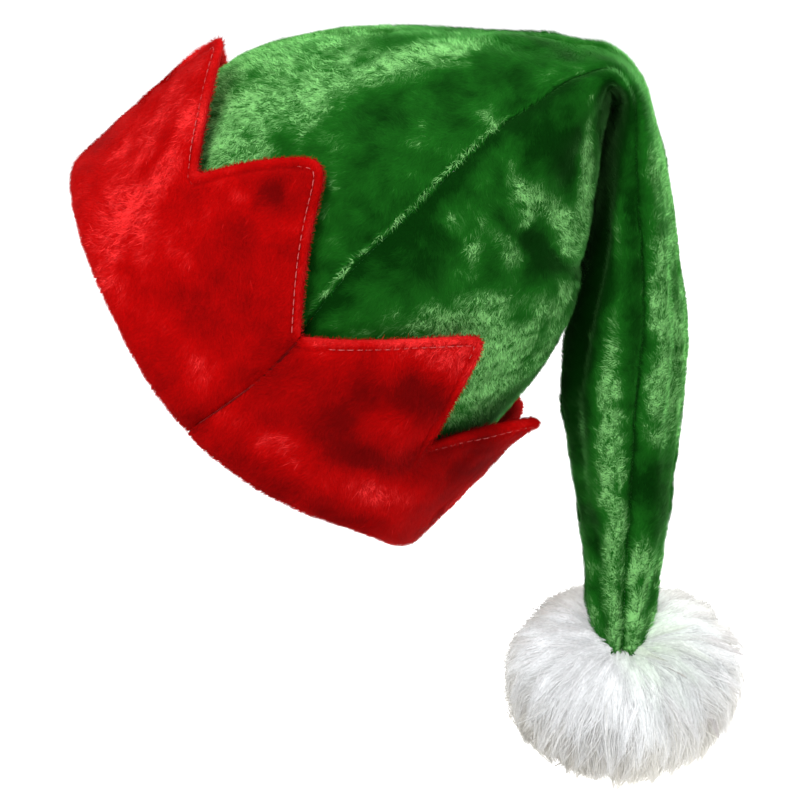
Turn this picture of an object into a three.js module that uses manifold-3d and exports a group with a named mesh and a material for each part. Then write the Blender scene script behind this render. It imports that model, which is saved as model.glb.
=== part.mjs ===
// Elf hat: a plush crown that folds over into a hanging tail, a zigzag cuff in two halves
// and a fur pompom. Millimetres, +Z up. The origin is the centre of the head opening.
// The wearer looks along -X, so +X is the back of the head and -Y is the left side.

import * as THREE from "three";
import { mergeVertices } from "three/addons/utils/BufferGeometryUtils.js";
import Module from "manifold-3d";

const wasm = await Module();
wasm.setup();

// Opening and crown
const head_length = 205; // opening, front to back
const head_width = 168; // opening, side to side
const crown_length = 189; // opening to the fold-over, along the crown's axis
const crown_tilt = 42; // degrees between the floor and the crown's axis
const opening_lean = 8; // degrees that the opening turns down on the left side
const rim_dip = 13; // how far the rim's sides reach below its front and back
const plush_wall = 3;
const seam_gap = 0.3; // between the front and back panels, and between the cuff's halves
const seam_depth = 1.6; // how far the cloth is drawn in along a side seam
const fold_depth = 10; // a full fold or dent in the plush
const crown_end = 0.42; // place where the crown starts to turn into the tail
const tail_start = 0.6; // place where the tail hangs straight
const rim_wave_end = 0.2; // place where the rim's waves have faded out
const seam_spread = 5; // degrees that a seam's valley spreads on the crown
const tail_seam_spread = 16; // and on the tail

// Tail
const tail_length = 248; // fold-over to the open end, straight down
const tail_width = 52; // front to back, where it is widest
const tail_depth = 60; // side to side, at the top
const tail_clearance = 2; // between the crown's back and the tail

// Cuff
const cuff_height = 56; // rim to the notches
const petal_height = 52; // notches to the petals' tips
const cuff_thickness = 7;
const cuff_clearance = 0.5; // around the crown's edge
const cuff_ease = 2.5; // how far the cuff stands off the crown at the notches
const petal_flare = 14; // how far a fully turned-out tip stands away
const hem_height = 15; // the part turned up inside the crown
const hem_wall = 2;
const petal_round = 0.13; // roundness of the petals' points, share of their half width
const flare_start = 0.4; // share of the height where a petal starts to turn out
const flare_curl = 2.5; // how late the turn comes, as a power
const flare_fade = 0.6; // how much less a petal turns out at its notches

// Pompom
const pompom_width = 104; // front to back
const pompom_height = 90;
const pompom_depth = 92; // side to side
const pompom_clearance = 0.3; // between the fur and the tail's end
const lock_width = 13;
const pompom_drop = 0.2; // centre under the tail's end, share of the height
const pompom_behind = 0.2; // centre behind the tail's end, share of the depth
const core_share = 0.85; // core against the ball of fur
const fur_parting = 0.12; // how much shorter the fur is at the tail's end
const parting_spread = 32; // degrees
const socket_start = 0.82; // place on the tail where the fur may begin

const degree = Math.PI / 180;

// Crown sections. at: place along the hat. The front and back rails are given along the
// crown's axis (shares of crown_length) and across it (shares of half the head_length).
// width: share of half the head_width. side: shift to the right, share of half the
// head_width. lean: share of opening_lean. twist: degrees that the side seams turn.
const crown_rows = [
  // at, front along, front across, back along, back across, width, side, lean, twist
  [0.0, 0.0, -1.0, 0.0, 1.0, 1.0, 0.0, 1.0, 3],
  [0.07, 0.19, -0.99, 0.15, 0.95, 1.02, -0.04, 1.0, 2],
  [0.14, 0.39, -0.965, 0.36, 0.9, 1.0, -0.08, 1.0, -2],
  [0.21, 0.55, -0.85, 0.52, 0.86, 0.94, -0.13, 0.9, -6],
  [0.28, 0.71, -0.67, 0.64, 0.75, 0.86, -0.18, 0.75, -11],
  [0.34, 0.82, -0.47, 0.75, 0.57, 0.75, -0.21, 0.5, -17],
  [0.4, 0.94, -0.25, 0.86, 0.37, 0.63, -0.25, 0.25, -25],
  [0.45, 1.01, -0.1, 0.95, 0.21, 0.51, -0.27, 0.0, -30],
  [0.49, 1.07, 0.03, 1.0, 0.13, 0.42, -0.29, 0.0, -28],
];

// Tail sections, measured from the fold-over. The drops are shares of tail_length, the
// offsets towards the back are shares of tail_width, width is a share of half the
// tail_depth, and side and twist are as in the crown.
const tail_rows = [
  // at, outer back, outer drop, inner back, inner drop, width, side, twist
  [0.53, 0.3, -0.02, 0.06, 0.015, 1.07, -0.29, -12],
  [0.57, 0.45, 0.07, 0.03, 0.065, 1.03, -0.27, 6],
  [0.62, 0.57, 0.18, -0.05, 0.16, 1.0, -0.25, 4],
  [0.67, 0.64, 0.29, -0.13, 0.27, 1.0, -0.23, -8],
  [0.73, 0.7, 0.42, -0.27, 0.41, 1.0, -0.2, -14],
  [0.79, 0.68, 0.55, -0.33, 0.54, 0.93, -0.18, -12],
  [0.85, 0.62, 0.68, -0.25, 0.67, 0.83, -0.15, -10],
  [0.91, 0.55, 0.81, -0.17, 0.8, 0.67, -0.14, -7],
  [0.95, 0.49, 0.9, -0.12, 0.9, 0.53, -0.14, -4],
  [1.0, 0.43, 1.0, -0.05, 1.0, 0.4, -0.14, 0],
];

// Folds and dents of the plush. The angle runs from the front rail (0) through the left
// side (90) and the back rail (180), depth is a share of fold_depth and goes inward.
const folds = [
  // angle, end angle, depth, spread, from, to
  [180, 180, 0.8, 17, 0.14, 0.5],
  [148, 150, -0.35, 20, 0.18, 0.48],
  [212, 210, -0.35, 20, 0.18, 0.48],
  [-4, -14, 0.5, 9, 0.24, 0.52],
  [18, 10, -0.2, 10, 0.26, 0.5],
  [-30, -32, -0.25, 12, 0.26, 0.5],
  [50, 62, 0.35, 20, 0.2, 0.44],
  [118, 128, 0.35, 14, 0.24, 0.46],
  [-58, -50, 0.3, 22, 0.2, 0.44],
  [238, 232, 0.3, 16, 0.24, 0.46],
  [142, 150, 0.28, 13, 0.58, 0.94],
  [218, 206, 0.3, 14, 0.6, 0.96],
  [32, 40, 0.16, 12, 0.6, 0.9],
  [-34, -44, 0.22, 13, 0.56, 0.94],
];

// Petals of the cuff, two to each quarter. tip: angle of the petal's point. height and
// flare are shares of petal_height and petal_flare, notch is the height of the notch
// at the petal's first angle as a share of cuff_height.
const petals = [
  // from, to, tip, height, flare, notch
  [0, 44, 25, 0.62, 1.0, 1.0],
  [44, 90, 66, 0.99, 0.2, 1.0],
  [90, 135, 127, 1.02, 0.15, 1.04],
  [135, 180, 160, 0.63, 0.68, 0.82],
  [180, 225, 201, 0.33, 0.5, 0.9],
  [225, 270, 240, 0.95, 0.3, 0.85],
  [270, 315, 293, 0.98, 0.25, 1.0],
  [315, 360, 337, 0.28, 0.5, 1.0],
];

// Waves of the rim. depth is a share of rim_dip, down and away from the crown.
const rim_waves = [
  // angle, depth, spread
  [88, 1.0, 40],
  [140, -0.3, 22],
  [280, 0.9, 48],
];

// Dents of the cuff. height is a share of cuff_height, depth a share of cuff_thickness.
const cuff_dents = [
  // angle, height, depth, spread in degrees, spread as a share of cuff_height
  [120, 1.25, 0.35, 7, 0.3],
  [132, 0.7, 0.3, 6, 0.35],
  [104, 0.35, 0.15, 10, 0.25],
  [52, 0.75, 0.2, 9, 0.4],
  [78, 0.4, 0.15, 7, 0.3],
  [20, 0.7, 0.2, 8, 0.3],
  [236, 0.8, 0.3, 8, 0.35],
  [300, 0.7, 0.25, 9, 0.35],
];

// Levels of the cuff's wall, from the zigzag edge down to the rim.
const cuff_levels = [
  // share of the edge's height, how much thinner each face is, share of cuff_thickness
  [1, 0.28],
  [0.965, 0],
  [0.84, 0],
  [0.68, 0],
  [0.5, 0],
  [0.32, 0],
  [0.14, 0],
];

// Rings of fur locks, from the tail's end to the bottom of the ball.
const lock_rings = [
  // locks, start and end in degrees from the tail's end, turn of the first lock
  [9, 42, 88, 0.0],
  [12, 66, 116, 0.5],
  [12, 94, 146, 0.1],
  [8, 124, 170, 0.6],
];

// Sections along a lock.
const lock_sections = [
  // share of the length, share of the ball's radius, share of lock_width
  [0, 0.78, 0.5],
  [0.35, 0.88, 1],
  [0.7, 0.95, 0.75],
  [1, 1, 0.1],
];

// Steps of the panels along the hat, closer at the fold-over.
const panel_spans = [
  // from, to, steps
  [0, crown_end, 12],
  [crown_end, tail_start, 9],
  [tail_start, 1, 10],
];
const panel_columns = 20;
const petal_columns = 7;
const rim_steps = 4; // round the rim
const core_sides = 16;
const core_rings = 11;
const lock_sides = 5;
const place_step = 0.008; // for the surface's direction along the hat
const angle_step = 1; // and around it, in degrees
const climb_step = 0.01; // for lengths measured up the crown

function smooth(low, high, value) {
  const t = Math.min(1, Math.max(0, (value - low) / (high - low)));
  return t * t * (3 - 2 * t);
}

// A bump of height 1 at zero that has faded out at twice the spread.
function bump(distance, spread) {
  return Math.exp(-((distance / spread) ** 2));
}

// The shorter way round from one angle to another, in degrees.
function turn(from, to) {
  return ((((to - from) % 360) + 540) % 360) - 180;
}

function crownSection(row) {
  const [at, front_along, front_across, back_along, back_across, width, side, lean, twist] = row;
  const cos = Math.cos(crown_tilt * degree);
  const sin = Math.sin(crown_tilt * degree);
  const place = (along, across) => {
    const a = along * crown_length;
    const b = (across * head_length) / 2;
    return { x: a * cos + b * sin, z: a * sin - b * cos };
  };
  const front = place(front_along, front_across);
  const back = place(back_along, back_across);
  return {
    at,
    front_x: front.x,
    front_z: front.z,
    back_x: back.x,
    back_z: back.z,
    width: (width * head_width) / 2,
    side: (side * head_width) / 2,
    lean: lean * opening_lean,
    twist,
  };
}

const crown_sections = crown_rows.map(crownSection);
const fold_over = crown_sections[crown_sections.length - 1];

// How far back the crown's dented middle reaches at a height, for the tail to clear it.
function crownBack(height) {
  const dent = folds[0][2] * fold_depth;
  let reach = -Infinity;
  for (let i = 1; i < crown_sections.length; i += 1) {
    const low = crown_sections[i - 1];
    const high = crown_sections[i];
    if (height >= low.back_z && height <= high.back_z) {
      const share = (height - low.back_z) / (high.back_z - low.back_z);
      const inward = i === crown_sections.length - 1 ? dent * (1 - share) : dent;
      reach = low.back_x + share * (high.back_x - low.back_x) - inward;
    }
  }
  return reach;
}

function tailSection(row) {
  const [at, outer_back, outer_drop, inner_back, inner_drop, width, side, twist] = row;
  const inner_z = fold_over.back_z - inner_drop * tail_length;
  const inner_x = fold_over.back_x + inner_back * tail_width;
  const push = Math.max(0, crownBack(inner_z) + tail_clearance - inner_x);
  return {
    at,
    front_x: fold_over.back_x + outer_back * tail_width + push,
    front_z: fold_over.back_z - outer_drop * tail_length,
    back_x: inner_x + push,
    back_z: inner_z,
    width: (width * tail_depth) / 2,
    side: (side * head_width) / 2,
    lean: 0,
    twist,
  };
}

const sections = [...crown_sections, ...tail_rows.map(tailSection)];

// The section at any place along the hat, on a smooth curve through the listed ones.
function sectionAt(at) {
  let i = 0;
  while (i < sections.length - 2 && at > sections[i + 1].at) {
    i += 1;
  }
  const before = sections[Math.max(0, i - 1)];
  const low = sections[i];
  const high = sections[i + 1];
  const after = sections[Math.min(sections.length - 1, i + 2)];
  const span = high.at - low.at;
  const t = (at - low.at) / span;
  const result = {};
  for (const key of Object.keys(low)) {
    const slope_low = ((high[key] - before[key]) / (high.at - before.at)) * span;
    const slope_high = ((after[key] - low[key]) / (after.at - low.at)) * span;
    result[key] =
      low[key] * (1 + 2 * t) * (1 - t) ** 2 +
      slope_low * t * (1 - t) ** 2 +
      high[key] * t * t * (3 - 2 * t) +
      slope_high * t * t * (t - 1);
  }
  return result;
}

function foldAt(at, angle) {
  let depth = 0;
  for (const [start, end, share, spread, from, to] of folds) {
    const fade = (to - from) / 3;
    const window = smooth(from, from + fade, at) * (1 - smooth(to - fade, to, at));
    if (window > 0) {
      const centre = start + ((end - start) * (at - from)) / (to - from);
      depth += share * fold_depth * window * bump(turn(centre, angle), spread);
    }
  }
  return depth;
}

function rimWave(angle) {
  let depth = 0;
  for (const [centre, share, spread] of rim_waves) {
    depth += rim_dip * share * bump(turn(centre, angle), spread);
  }
  return depth;
}

// The side seams draw the cloth in, more on the narrow tail than on the crown.
function seamAt(at, seam_angle) {
  const reach = Math.min(Math.abs(turn(90, seam_angle)), Math.abs(turn(270, seam_angle)));
  const tail = smooth(crown_end, tail_start, at);
  const spread = seam_spread + (tail_seam_spread - seam_spread) * tail;
  return seam_depth * smooth(0.1, 0.2, at) * (1 + tail) * bump(reach, spread);
}

// A point of the plush. The angle is counted from the panels' side seams at 90 and 270,
// inset is the depth below the outer surface.
function surfacePoint(at, seam_angle, inset) {
  const s = sectionAt(at);
  const angle = seam_angle + s.twist;
  const reach = Math.hypot(s.front_x - s.back_x, s.front_z - s.back_z) / 2;
  const front_x = (s.front_x - s.back_x) / (2 * reach);
  const front_z = (s.front_z - s.back_z) / (2 * reach);
  const up_x = front_z;
  const up_z = -front_x;
  const cos = Math.cos(angle * degree);
  const sin = Math.sin(angle * degree);
  const normal = Math.hypot(cos * s.width, sin * reach);
  const fold = foldAt(at, angle);
  const depth = inset + seamAt(at, seam_angle);
  const forward = cos * (reach - depth) - (fold * cos * s.width) / normal;
  const sideways = -sin * (s.width - depth) + (fold * sin * reach) / normal;
  const dip = rimWave(angle) * Math.max(0, 1 - at / rim_wave_end) ** 2;
  const rise = sideways * Math.sin(s.lean * degree) - dip;
  return new THREE.Vector3(
    (s.front_x + s.back_x) / 2 + front_x * forward + up_x * rise,
    s.side + sideways * Math.cos(s.lean * degree),
    (s.front_z + s.back_z) / 2 + front_z * forward + up_z * rise,
  );
}

function surfaceNormal(at, angle) {
  const low = Math.max(0, at - place_step / 2);
  const along = surfacePoint(low + place_step, angle, 0).sub(surfacePoint(low, angle, 0));
  const left = surfacePoint(at, angle + angle_step / 2, 0);
  const around = left.sub(surfacePoint(at, angle - angle_step / 2, 0));
  return around.cross(along).normalize();
}

// A closed body between two skins of the same number of rows and columns.
function thickSheet(outer, inner) {
  const rows = outer.length;
  const columns = outer[0].length;
  const points = [...outer.flat(), ...inner.flat()];
  const layer = rows * columns;
  const faces = [];
  const quad = (a, b, c, d) => faces.push(a, b, c, a, c, d);
  for (let r = 0; r < rows - 1; r += 1) {
    for (let c = 0; c < columns - 1; c += 1) {
      const a = r * columns + c;
      quad(a, a + 1, a + columns + 1, a + columns);
      quad(layer + a, layer + a + columns, layer + a + columns + 1, layer + a + 1);
    }
  }
  for (let c = 0; c < columns - 1; c += 1) {
    const last = (rows - 1) * columns + c;
    quad(c + 1, c, layer + c, layer + c + 1);
    quad(last, last + 1, layer + last + 1, layer + last);
  }
  for (let r = 0; r < rows - 1; r += 1) {
    const first = r * columns;
    const last = first + columns - 1;
    quad(first, first + columns, layer + first + columns, layer + first);
    quad(last, layer + last, layer + last + columns, last + columns);
  }
  return closedGeometry(points, faces);
}

// Builds a geometry and turns its faces outward if they point in.
function closedGeometry(points, faces) {
  let volume = 0;
  const corner = new THREE.Vector3();
  for (let i = 0; i < faces.length; i += 3) {
    corner.crossVectors(points[faces[i + 1]], points[faces[i + 2]]);
    volume += points[faces[i]].dot(corner);
  }
  const outward = volume > 0 ? faces : faces.slice().reverse();
  const geometry = new THREE.BufferGeometry();
  const numbers = points.flatMap((point) => [point.x, point.y, point.z]);
  geometry.setAttribute("position", new THREE.Float32BufferAttribute(numbers, 3));
  geometry.setIndex(outward);
  return geometry;
}

function panelPlaces() {
  const places = [];
  for (const [from, to, steps] of panel_spans) {
    for (let i = 0; i < steps; i += 1) {
      places.push(from + ((to - from) * i) / steps);
    }
  }
  places.push(1);
  return places;
}

// Angle that leaves half the seam gap beside a side seam at this section, more where
// the seam runs at a slant.
function seamMargin(at, inset) {
  const s = sectionAt(at);
  const reach = Math.hypot(s.front_x - s.back_x, s.front_z - s.back_z) / 2 - inset;
  return Math.asin(seam_gap / 2 / reach) / degree / Math.cos(s.twist * degree);
}

function panel(centre) {
  const skin = (inset) =>
    panelPlaces().map((at) => {
      const reach = 90 - seamMargin(at, inset);
      const row = [];
      for (let c = 0; c <= panel_columns; c += 1) {
        row.push(surfacePoint(at, centre - reach + (2 * reach * c) / panel_columns, inset));
      }
      return row;
    });
  return thickSheet(skin(0), skin(plush_wall));
}

// Height of the zigzag edge over the rim, and how far its petal turns out there.
function petalAt(angle) {
  const wrapped = ((angle % 360) + 360) % 360;
  const index = petals.findIndex(([from, to]) => wrapped >= from && wrapped <= to);
  const [from, to, tip, height, flare, notch] = petals[index];
  const next_notch = petals[(index + 1) % petals.length][5];
  const base = cuff_height * (notch + ((next_notch - notch) * (wrapped - from)) / (to - from));
  const off = wrapped < tip ? (tip - wrapped) / (tip - from) : (wrapped - tip) / (to - tip);
  const full = Math.hypot(1, petal_round);
  const peak = (full - Math.hypot(off, petal_round)) / (full - petal_round);
  return {
    height: base + petal_height * height * peak,
    flare: petal_flare * flare * (1 - flare_fade * off * off),
    tip: base + petal_height * height,
  };
}

function cuffDent(angle, height) {
  let depth = 0;
  for (const [centre, level, share, spread, tall] of cuff_dents) {
    const rise = height / cuff_height - level;
    depth += share * cuff_thickness * bump(turn(centre, angle), spread) * bump(rise, tall);
  }
  return depth;
}

// Points of the crown's surface up a line of constant angle, with the height of each.
function climbTable(angle) {
  const table = [];
  let height = 0;
  let last = surfacePoint(0, angle, 0);
  for (let at = 0; at < crown_end; at += climb_step) {
    const point = surfacePoint(at, angle, 0);
    height += point.distanceTo(last);
    table.push({ at, height });
    last = point;
  }
  return table;
}

function climb(table, height) {
  let i = 0;
  while (i < table.length - 2 && height > table[i + 1].height) {
    i += 1;
  }
  const share = (height - table[i].height) / (table[i + 1].height - table[i].height);
  return table[i].at + share * (table[i + 1].at - table[i].at);
}

// One column of the cuff: the outer and inner skins from the zigzag edge down the
// outside, round the crown's rim and up into the hem.
function cuffColumn(angle) {
  const table = climbTable(angle);
  const { height: top, flare, tip } = petalAt(angle);
  const rim = surfacePoint(0, angle, 0);
  const rim_normal = surfaceNormal(0, angle);
  const rim_up = surfacePoint(climb_step, angle, 0).sub(rim).normalize();
  const place = (height, offset) => {
    if (height <= 0) {
      return rim.clone().addScaledVector(rim_up, height).addScaledVector(rim_normal, offset);
    }
    const at = climb(table, height);
    return surfacePoint(at, angle, 0).addScaledVector(surfaceNormal(at, angle), offset);
  };
  const outer = [];
  const inner = [];
  for (const [share, thinner] of cuff_levels) {
    const height = top * share;
    const turn_share = Math.max(0, (height / tip - flare_start) / (1 - flare_start));
    const turned_out = flare * turn_share ** flare_curl;
    const stand = cuff_clearance + cuff_ease * smooth(0, cuff_height, height) + turned_out;
    const edge = cuff_thickness * thinner;
    inner.push(place(height, stand + edge));
    outer.push(place(height, stand + cuff_thickness - edge - cuffDent(angle, height)));
  }
  const out = cuff_clearance + cuff_thickness;
  const deep = plush_wall + cuff_clearance + hem_wall;
  const slot = plush_wall + cuff_clearance;
  for (let k = 0; k <= rim_steps; k += 1) {
    const bend = (k * Math.PI) / rim_steps;
    const across = (out - deep) / 2 + ((out + deep) / 2) * Math.cos(bend);
    outer.push(place(-cuff_thickness * Math.sin(bend), across));
  }
  inner.push(place(0, cuff_clearance));
  inner.push(place(-cuff_clearance, cuff_clearance));
  inner.push(place(-cuff_clearance, -plush_wall / 2));
  inner.push(place(-cuff_clearance, -slot));
  inner.push(place(0, -slot));
  outer.push(place(hem_height, -deep));
  inner.push(place(hem_height, -slot));
  return { outer, inner };
}

function cuff(centre) {
  const reach = 90 - seamMargin(0, 0);
  const angles = [];
  for (const [from, to, tip] of petals) {
    const middle = turn(centre, (from + to) / 2);
    if (Math.abs(middle) < 90) {
      for (let c = 0; c < petal_columns; c += 1) {
        const share = c / petal_columns;
        const low = share < 0.5 ? from : tip;
        const high = share < 0.5 ? tip : to;
        angles.push(turn(centre, low + (high - low) * ((share * 2) % 1)));
      }
    }
  }
  angles.sort((a, b) => a - b);
  angles.push(90);
  const columns = angles.map((angle) => cuffColumn(centre + Math.min(reach, Math.max(-reach, angle))));
  const across = (skin) => columns[0][skin].map((_, r) => columns.map((column) => column[skin][r]));
  return thickSheet(across("outer"), across("inner"));
}

function toManifold(geometry) {
  const bare = geometry.clone();
  bare.deleteAttribute("normal");
  bare.deleteAttribute("uv");
  const merged = mergeVertices(bare, 1e-4);
  const mesh = new wasm.Mesh({
    numProp: 3,
    vertProperties: merged.attributes.position.array,
    triVerts: new Uint32Array(merged.index.array),
  });
  return new wasm.Manifold(mesh);
}

function toGeometry(manifold) {
  const mesh = manifold.getMesh();
  const geometry = new THREE.BufferGeometry();
  geometry.setAttribute("position", new THREE.BufferAttribute(mesh.vertProperties, mesh.numProp));
  geometry.setIndex(new THREE.BufferAttribute(mesh.triVerts, 1));
  return geometry;
}

// A solid through closed rings of points, with its two ends capped.
function ringSolid(rings) {
  const count = rings[0].length;
  const points = rings.flat();
  const faces = [];
  for (let r = 0; r < rings.length - 1; r += 1) {
    for (let c = 0; c < count; c += 1) {
      const a = r * count + c;
      const b = r * count + ((c + 1) % count);
      faces.push(a, b, b + count, a, b + count, a + count);
    }
  }
  for (const [ring, flip] of [[0, true], [rings.length - 1, false]]) {
    const middle = new THREE.Vector3();
    rings[ring].forEach((point) => middle.addScaledVector(point, 1 / count));
    points.push(middle);
    for (let c = 0; c < count; c += 1) {
      const a = ring * count + c;
      const b = ring * count + ((c + 1) % count);
      faces.push(...(flip ? [b, a, points.length - 1] : [a, b, points.length - 1]));
    }
  }
  return closedGeometry(points, faces);
}

// The space of the tail's end, a clearance wider, that the pompom's fur leaves free.
function tailEnd() {
  const rings = [];
  const sides = 2 * panel_columns;
  for (const at of panelPlaces().filter((place) => place > socket_start)) {
    const ring = [];
    for (let c = 0; c < sides; c += 1) {
      ring.push(surfacePoint(at, (c / sides) * 360, -pompom_clearance));
    }
    rings.push(ring);
  }
  const below = new THREE.Vector3(0, 0, -pompom_clearance);
  rings.push(rings[rings.length - 1].map((point) => point.clone().add(below)));
  return ringSolid(rings);
}

// Share of the ball's radius that the fur reaches at an angle from the tail's end, where
// the fur parts round the tail.
function furReach(polar) {
  return 1 - fur_parting * bump(polar, parting_spread);
}

function pompom() {
  const end = surfacePoint(1, 0, 0).add(surfacePoint(1, 180, 0)).multiplyScalar(0.5);
  const drop = pompom_drop * pompom_height;
  const behind = pompom_behind * pompom_depth;
  const centre = end.clone().add(new THREE.Vector3(0, behind, -drop));
  const radii = new THREE.Vector3(pompom_width / 2, pompom_depth / 2, pompom_height / 2);
  const pole = new THREE.Vector3(0, -behind, drop).normalize();
  const frame = new THREE.Quaternion().setFromUnitVectors(new THREE.Vector3(0, 0, 1), pole);
  const onBall = (polar, around, share) => {
    const direction = new THREE.Vector3().setFromSphericalCoords(1, polar * degree, around);
    direction.set(direction.x, -direction.z, direction.y).applyQuaternion(frame);
    return direction.multiply(radii).multiplyScalar(share * furReach(polar)).add(centre);
  };
  const rings = [];
  for (let r = 0; r < core_rings; r += 1) {
    const polar = (180 * (r + 0.3)) / (core_rings - 0.4);
    const ring = [];
    for (let c = 0; c < core_sides; c += 1) {
      ring.push(onBall(polar, (c / core_sides) * 2 * Math.PI, core_share));
    }
    rings.push(ring);
  }
  let body = toManifold(ringSolid(rings));
  for (const [count, start, end_angle, first] of lock_rings) {
    for (let i = 0; i < count; i += 1) {
      const around = ((i + first) / count) * 2 * Math.PI;
      body = body.add(toManifold(lock(onBall, start, end_angle, around)));
    }
  }
  return toGeometry(body.subtract(toManifold(tailEnd())));
}

// A tapering lock of fur that follows the ball and lifts off it towards its tip.
function lock(onBall, start, end, around) {
  const rings = [];
  for (const [share, lift, size] of lock_sections) {
    const polar = start + (end - start) * share;
    const middle = onBall(polar, around, lift);
    const outward = onBall(polar, around, lift + 0.1).sub(middle).normalize();
    const along = onBall(polar + 4, around, lift).sub(middle).normalize();
    const wide = new THREE.Vector3().crossVectors(outward, along).normalize();
    const ring = [];
    for (let c = 0; c < lock_sides; c += 1) {
      const spin = (c / lock_sides) * 2 * Math.PI;
      const side = (Math.cos(spin) * lock_width * size) / 2;
      const thick = (Math.sin(spin) * lock_width * size) / 3;
      ring.push(middle.clone().addScaledVector(wide, side).addScaledVector(outward, thick));
    }
    rings.push(ring);
  }
  return ringSolid(rings);
}

function piece(name, geometry, colour, roughness) {
  const material = new THREE.MeshStandardMaterial({ color: colour, roughness, metalness: 0 });
  const mesh = new THREE.Mesh(geometry, material);
  mesh.name = name;
  return mesh;
}

const group = new THREE.Group();
group.add(piece("front_panel", panel(0), 0x1d7a2c, 0.85));
group.add(piece("back_panel", panel(180), 0x1d7a2c, 0.85));
group.add(piece("front_cuff", cuff(0), 0xc4141b, 0.85));
group.add(piece("back_cuff", cuff(180), 0xc4141b, 0.85));
group.add(piece("pompom", pompom(), 0xf2f3f2, 0.95));

export default group;
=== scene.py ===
# Elf hat in crushed plush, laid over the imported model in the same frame, in metres.
# Crown and tail: knitted cloth with a short pile. Cuff: padded plush with topstitched
# petals. Pompom: long fur. The outer forms come from the same sizes and tables as the
# part's own solids. The wearer looks along -X, and -Y is the left side of the head.

import math

import bpy
import numpy as np
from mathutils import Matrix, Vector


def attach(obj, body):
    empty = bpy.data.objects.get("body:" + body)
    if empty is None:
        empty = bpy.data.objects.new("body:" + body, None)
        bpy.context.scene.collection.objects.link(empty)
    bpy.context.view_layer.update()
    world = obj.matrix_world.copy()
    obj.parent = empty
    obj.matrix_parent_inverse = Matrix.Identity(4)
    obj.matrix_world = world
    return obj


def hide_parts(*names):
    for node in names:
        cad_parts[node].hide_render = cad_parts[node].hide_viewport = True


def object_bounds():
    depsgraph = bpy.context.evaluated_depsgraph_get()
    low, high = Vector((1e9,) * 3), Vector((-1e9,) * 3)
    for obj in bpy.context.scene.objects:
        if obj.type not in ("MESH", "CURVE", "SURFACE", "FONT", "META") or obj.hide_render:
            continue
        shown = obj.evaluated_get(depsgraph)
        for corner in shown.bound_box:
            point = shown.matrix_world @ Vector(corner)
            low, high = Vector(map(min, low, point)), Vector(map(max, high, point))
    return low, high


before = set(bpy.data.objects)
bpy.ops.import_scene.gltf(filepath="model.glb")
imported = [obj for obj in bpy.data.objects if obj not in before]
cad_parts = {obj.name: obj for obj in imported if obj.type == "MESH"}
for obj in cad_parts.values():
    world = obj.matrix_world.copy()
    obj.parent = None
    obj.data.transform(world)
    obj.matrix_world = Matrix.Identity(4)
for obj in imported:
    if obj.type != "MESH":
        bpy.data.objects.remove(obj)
cad_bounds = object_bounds()

mm = 0.001

# Length of the hat from place 0 to place 1, and mean radius at the head
run_length = 0.48
head_radius = 0.092

# Opening and crown
head_length = 0.205
head_width = 0.168
crown_length = 0.189
crown_tilt = 42
opening_lean = 8
rim_dip = 0.013
plush_wall = 0.003
seam_gap = 0.0003
seam_depth = 0.0016
fold_depth = 0.010
crown_end = 0.42
tail_start = 0.6
rim_wave_end = 0.2
seam_spread = 5
tail_seam_spread = 16

# Tail
tail_length = 0.248
tail_width = 0.052
tail_depth = 0.060
tail_clearance = 0.002

# Cuff
cuff_height = 0.056
petal_height = 0.052
cuff_thickness = 0.007
cuff_clearance = 0.0005
cuff_ease = 0.0025
petal_flare = 0.014
hem_height = 0.015
hem_wall = 0.002
petal_round = 0.13
flare_start = 0.4
flare_curl = 2.5
flare_fade = 0.6

# Pompom
pompom_width = 0.104
pompom_height = 0.090
pompom_depth = 0.092
pompom_drop = 0.2
pompom_behind = 0.2
fur_parting = 0.12
parting_spread = 32
strand_parting = 0.13

# Sections of the crown, as in the part: places along the hat, the front and back rails
# along and across the crown's axis, width, side shift, lean and twist of the seams.
crown_rows = [
    # at, front along, front across, back along, back across, width, side, lean, twist
    [0.0, 0.0, -1.0, 0.0, 1.0, 1.0, 0.0, 1.0, 3],
    [0.07, 0.19, -0.99, 0.15, 0.95, 1.02, -0.04, 1.0, 2],
    [0.14, 0.39, -0.965, 0.36, 0.9, 1.0, -0.08, 1.0, -2],
    [0.21, 0.55, -0.85, 0.52, 0.86, 0.94, -0.13, 0.9, -6],
    [0.28, 0.71, -0.67, 0.64, 0.75, 0.86, -0.18, 0.75, -11],
    [0.34, 0.82, -0.47, 0.75, 0.57, 0.75, -0.21, 0.5, -17],
    [0.4, 0.94, -0.25, 0.86, 0.37, 0.63, -0.25, 0.25, -25],
    [0.45, 1.01, -0.1, 0.95, 0.21, 0.51, -0.27, 0.0, -30],
    [0.49, 1.07, 0.03, 1.0, 0.13, 0.42, -0.29, 0.0, -28],
]

# Sections of the tail, measured from the fold-over.
tail_rows = [
    # at, outer back, outer drop, inner back, inner drop, width, side, twist
    [0.53, 0.3, -0.02, 0.06, 0.015, 1.07, -0.29, -12],
    [0.57, 0.45, 0.07, 0.03, 0.065, 1.03, -0.27, 6],
    [0.62, 0.57, 0.18, -0.05, 0.16, 1.0, -0.25, 4],
    [0.67, 0.64, 0.29, -0.13, 0.27, 1.0, -0.23, -8],
    [0.73, 0.7, 0.42, -0.27, 0.41, 1.0, -0.2, -14],
    [0.79, 0.68, 0.55, -0.33, 0.54, 0.93, -0.18, -12],
    [0.85, 0.62, 0.68, -0.25, 0.67, 0.83, -0.15, -10],
    [0.91, 0.55, 0.81, -0.17, 0.8, 0.67, -0.14, -7],
    [0.95, 0.49, 0.9, -0.12, 0.9, 0.53, -0.14, -4],
    [1.0, 0.43, 1.0, -0.05, 1.0, 0.4, -0.14, 0],
]

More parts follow.
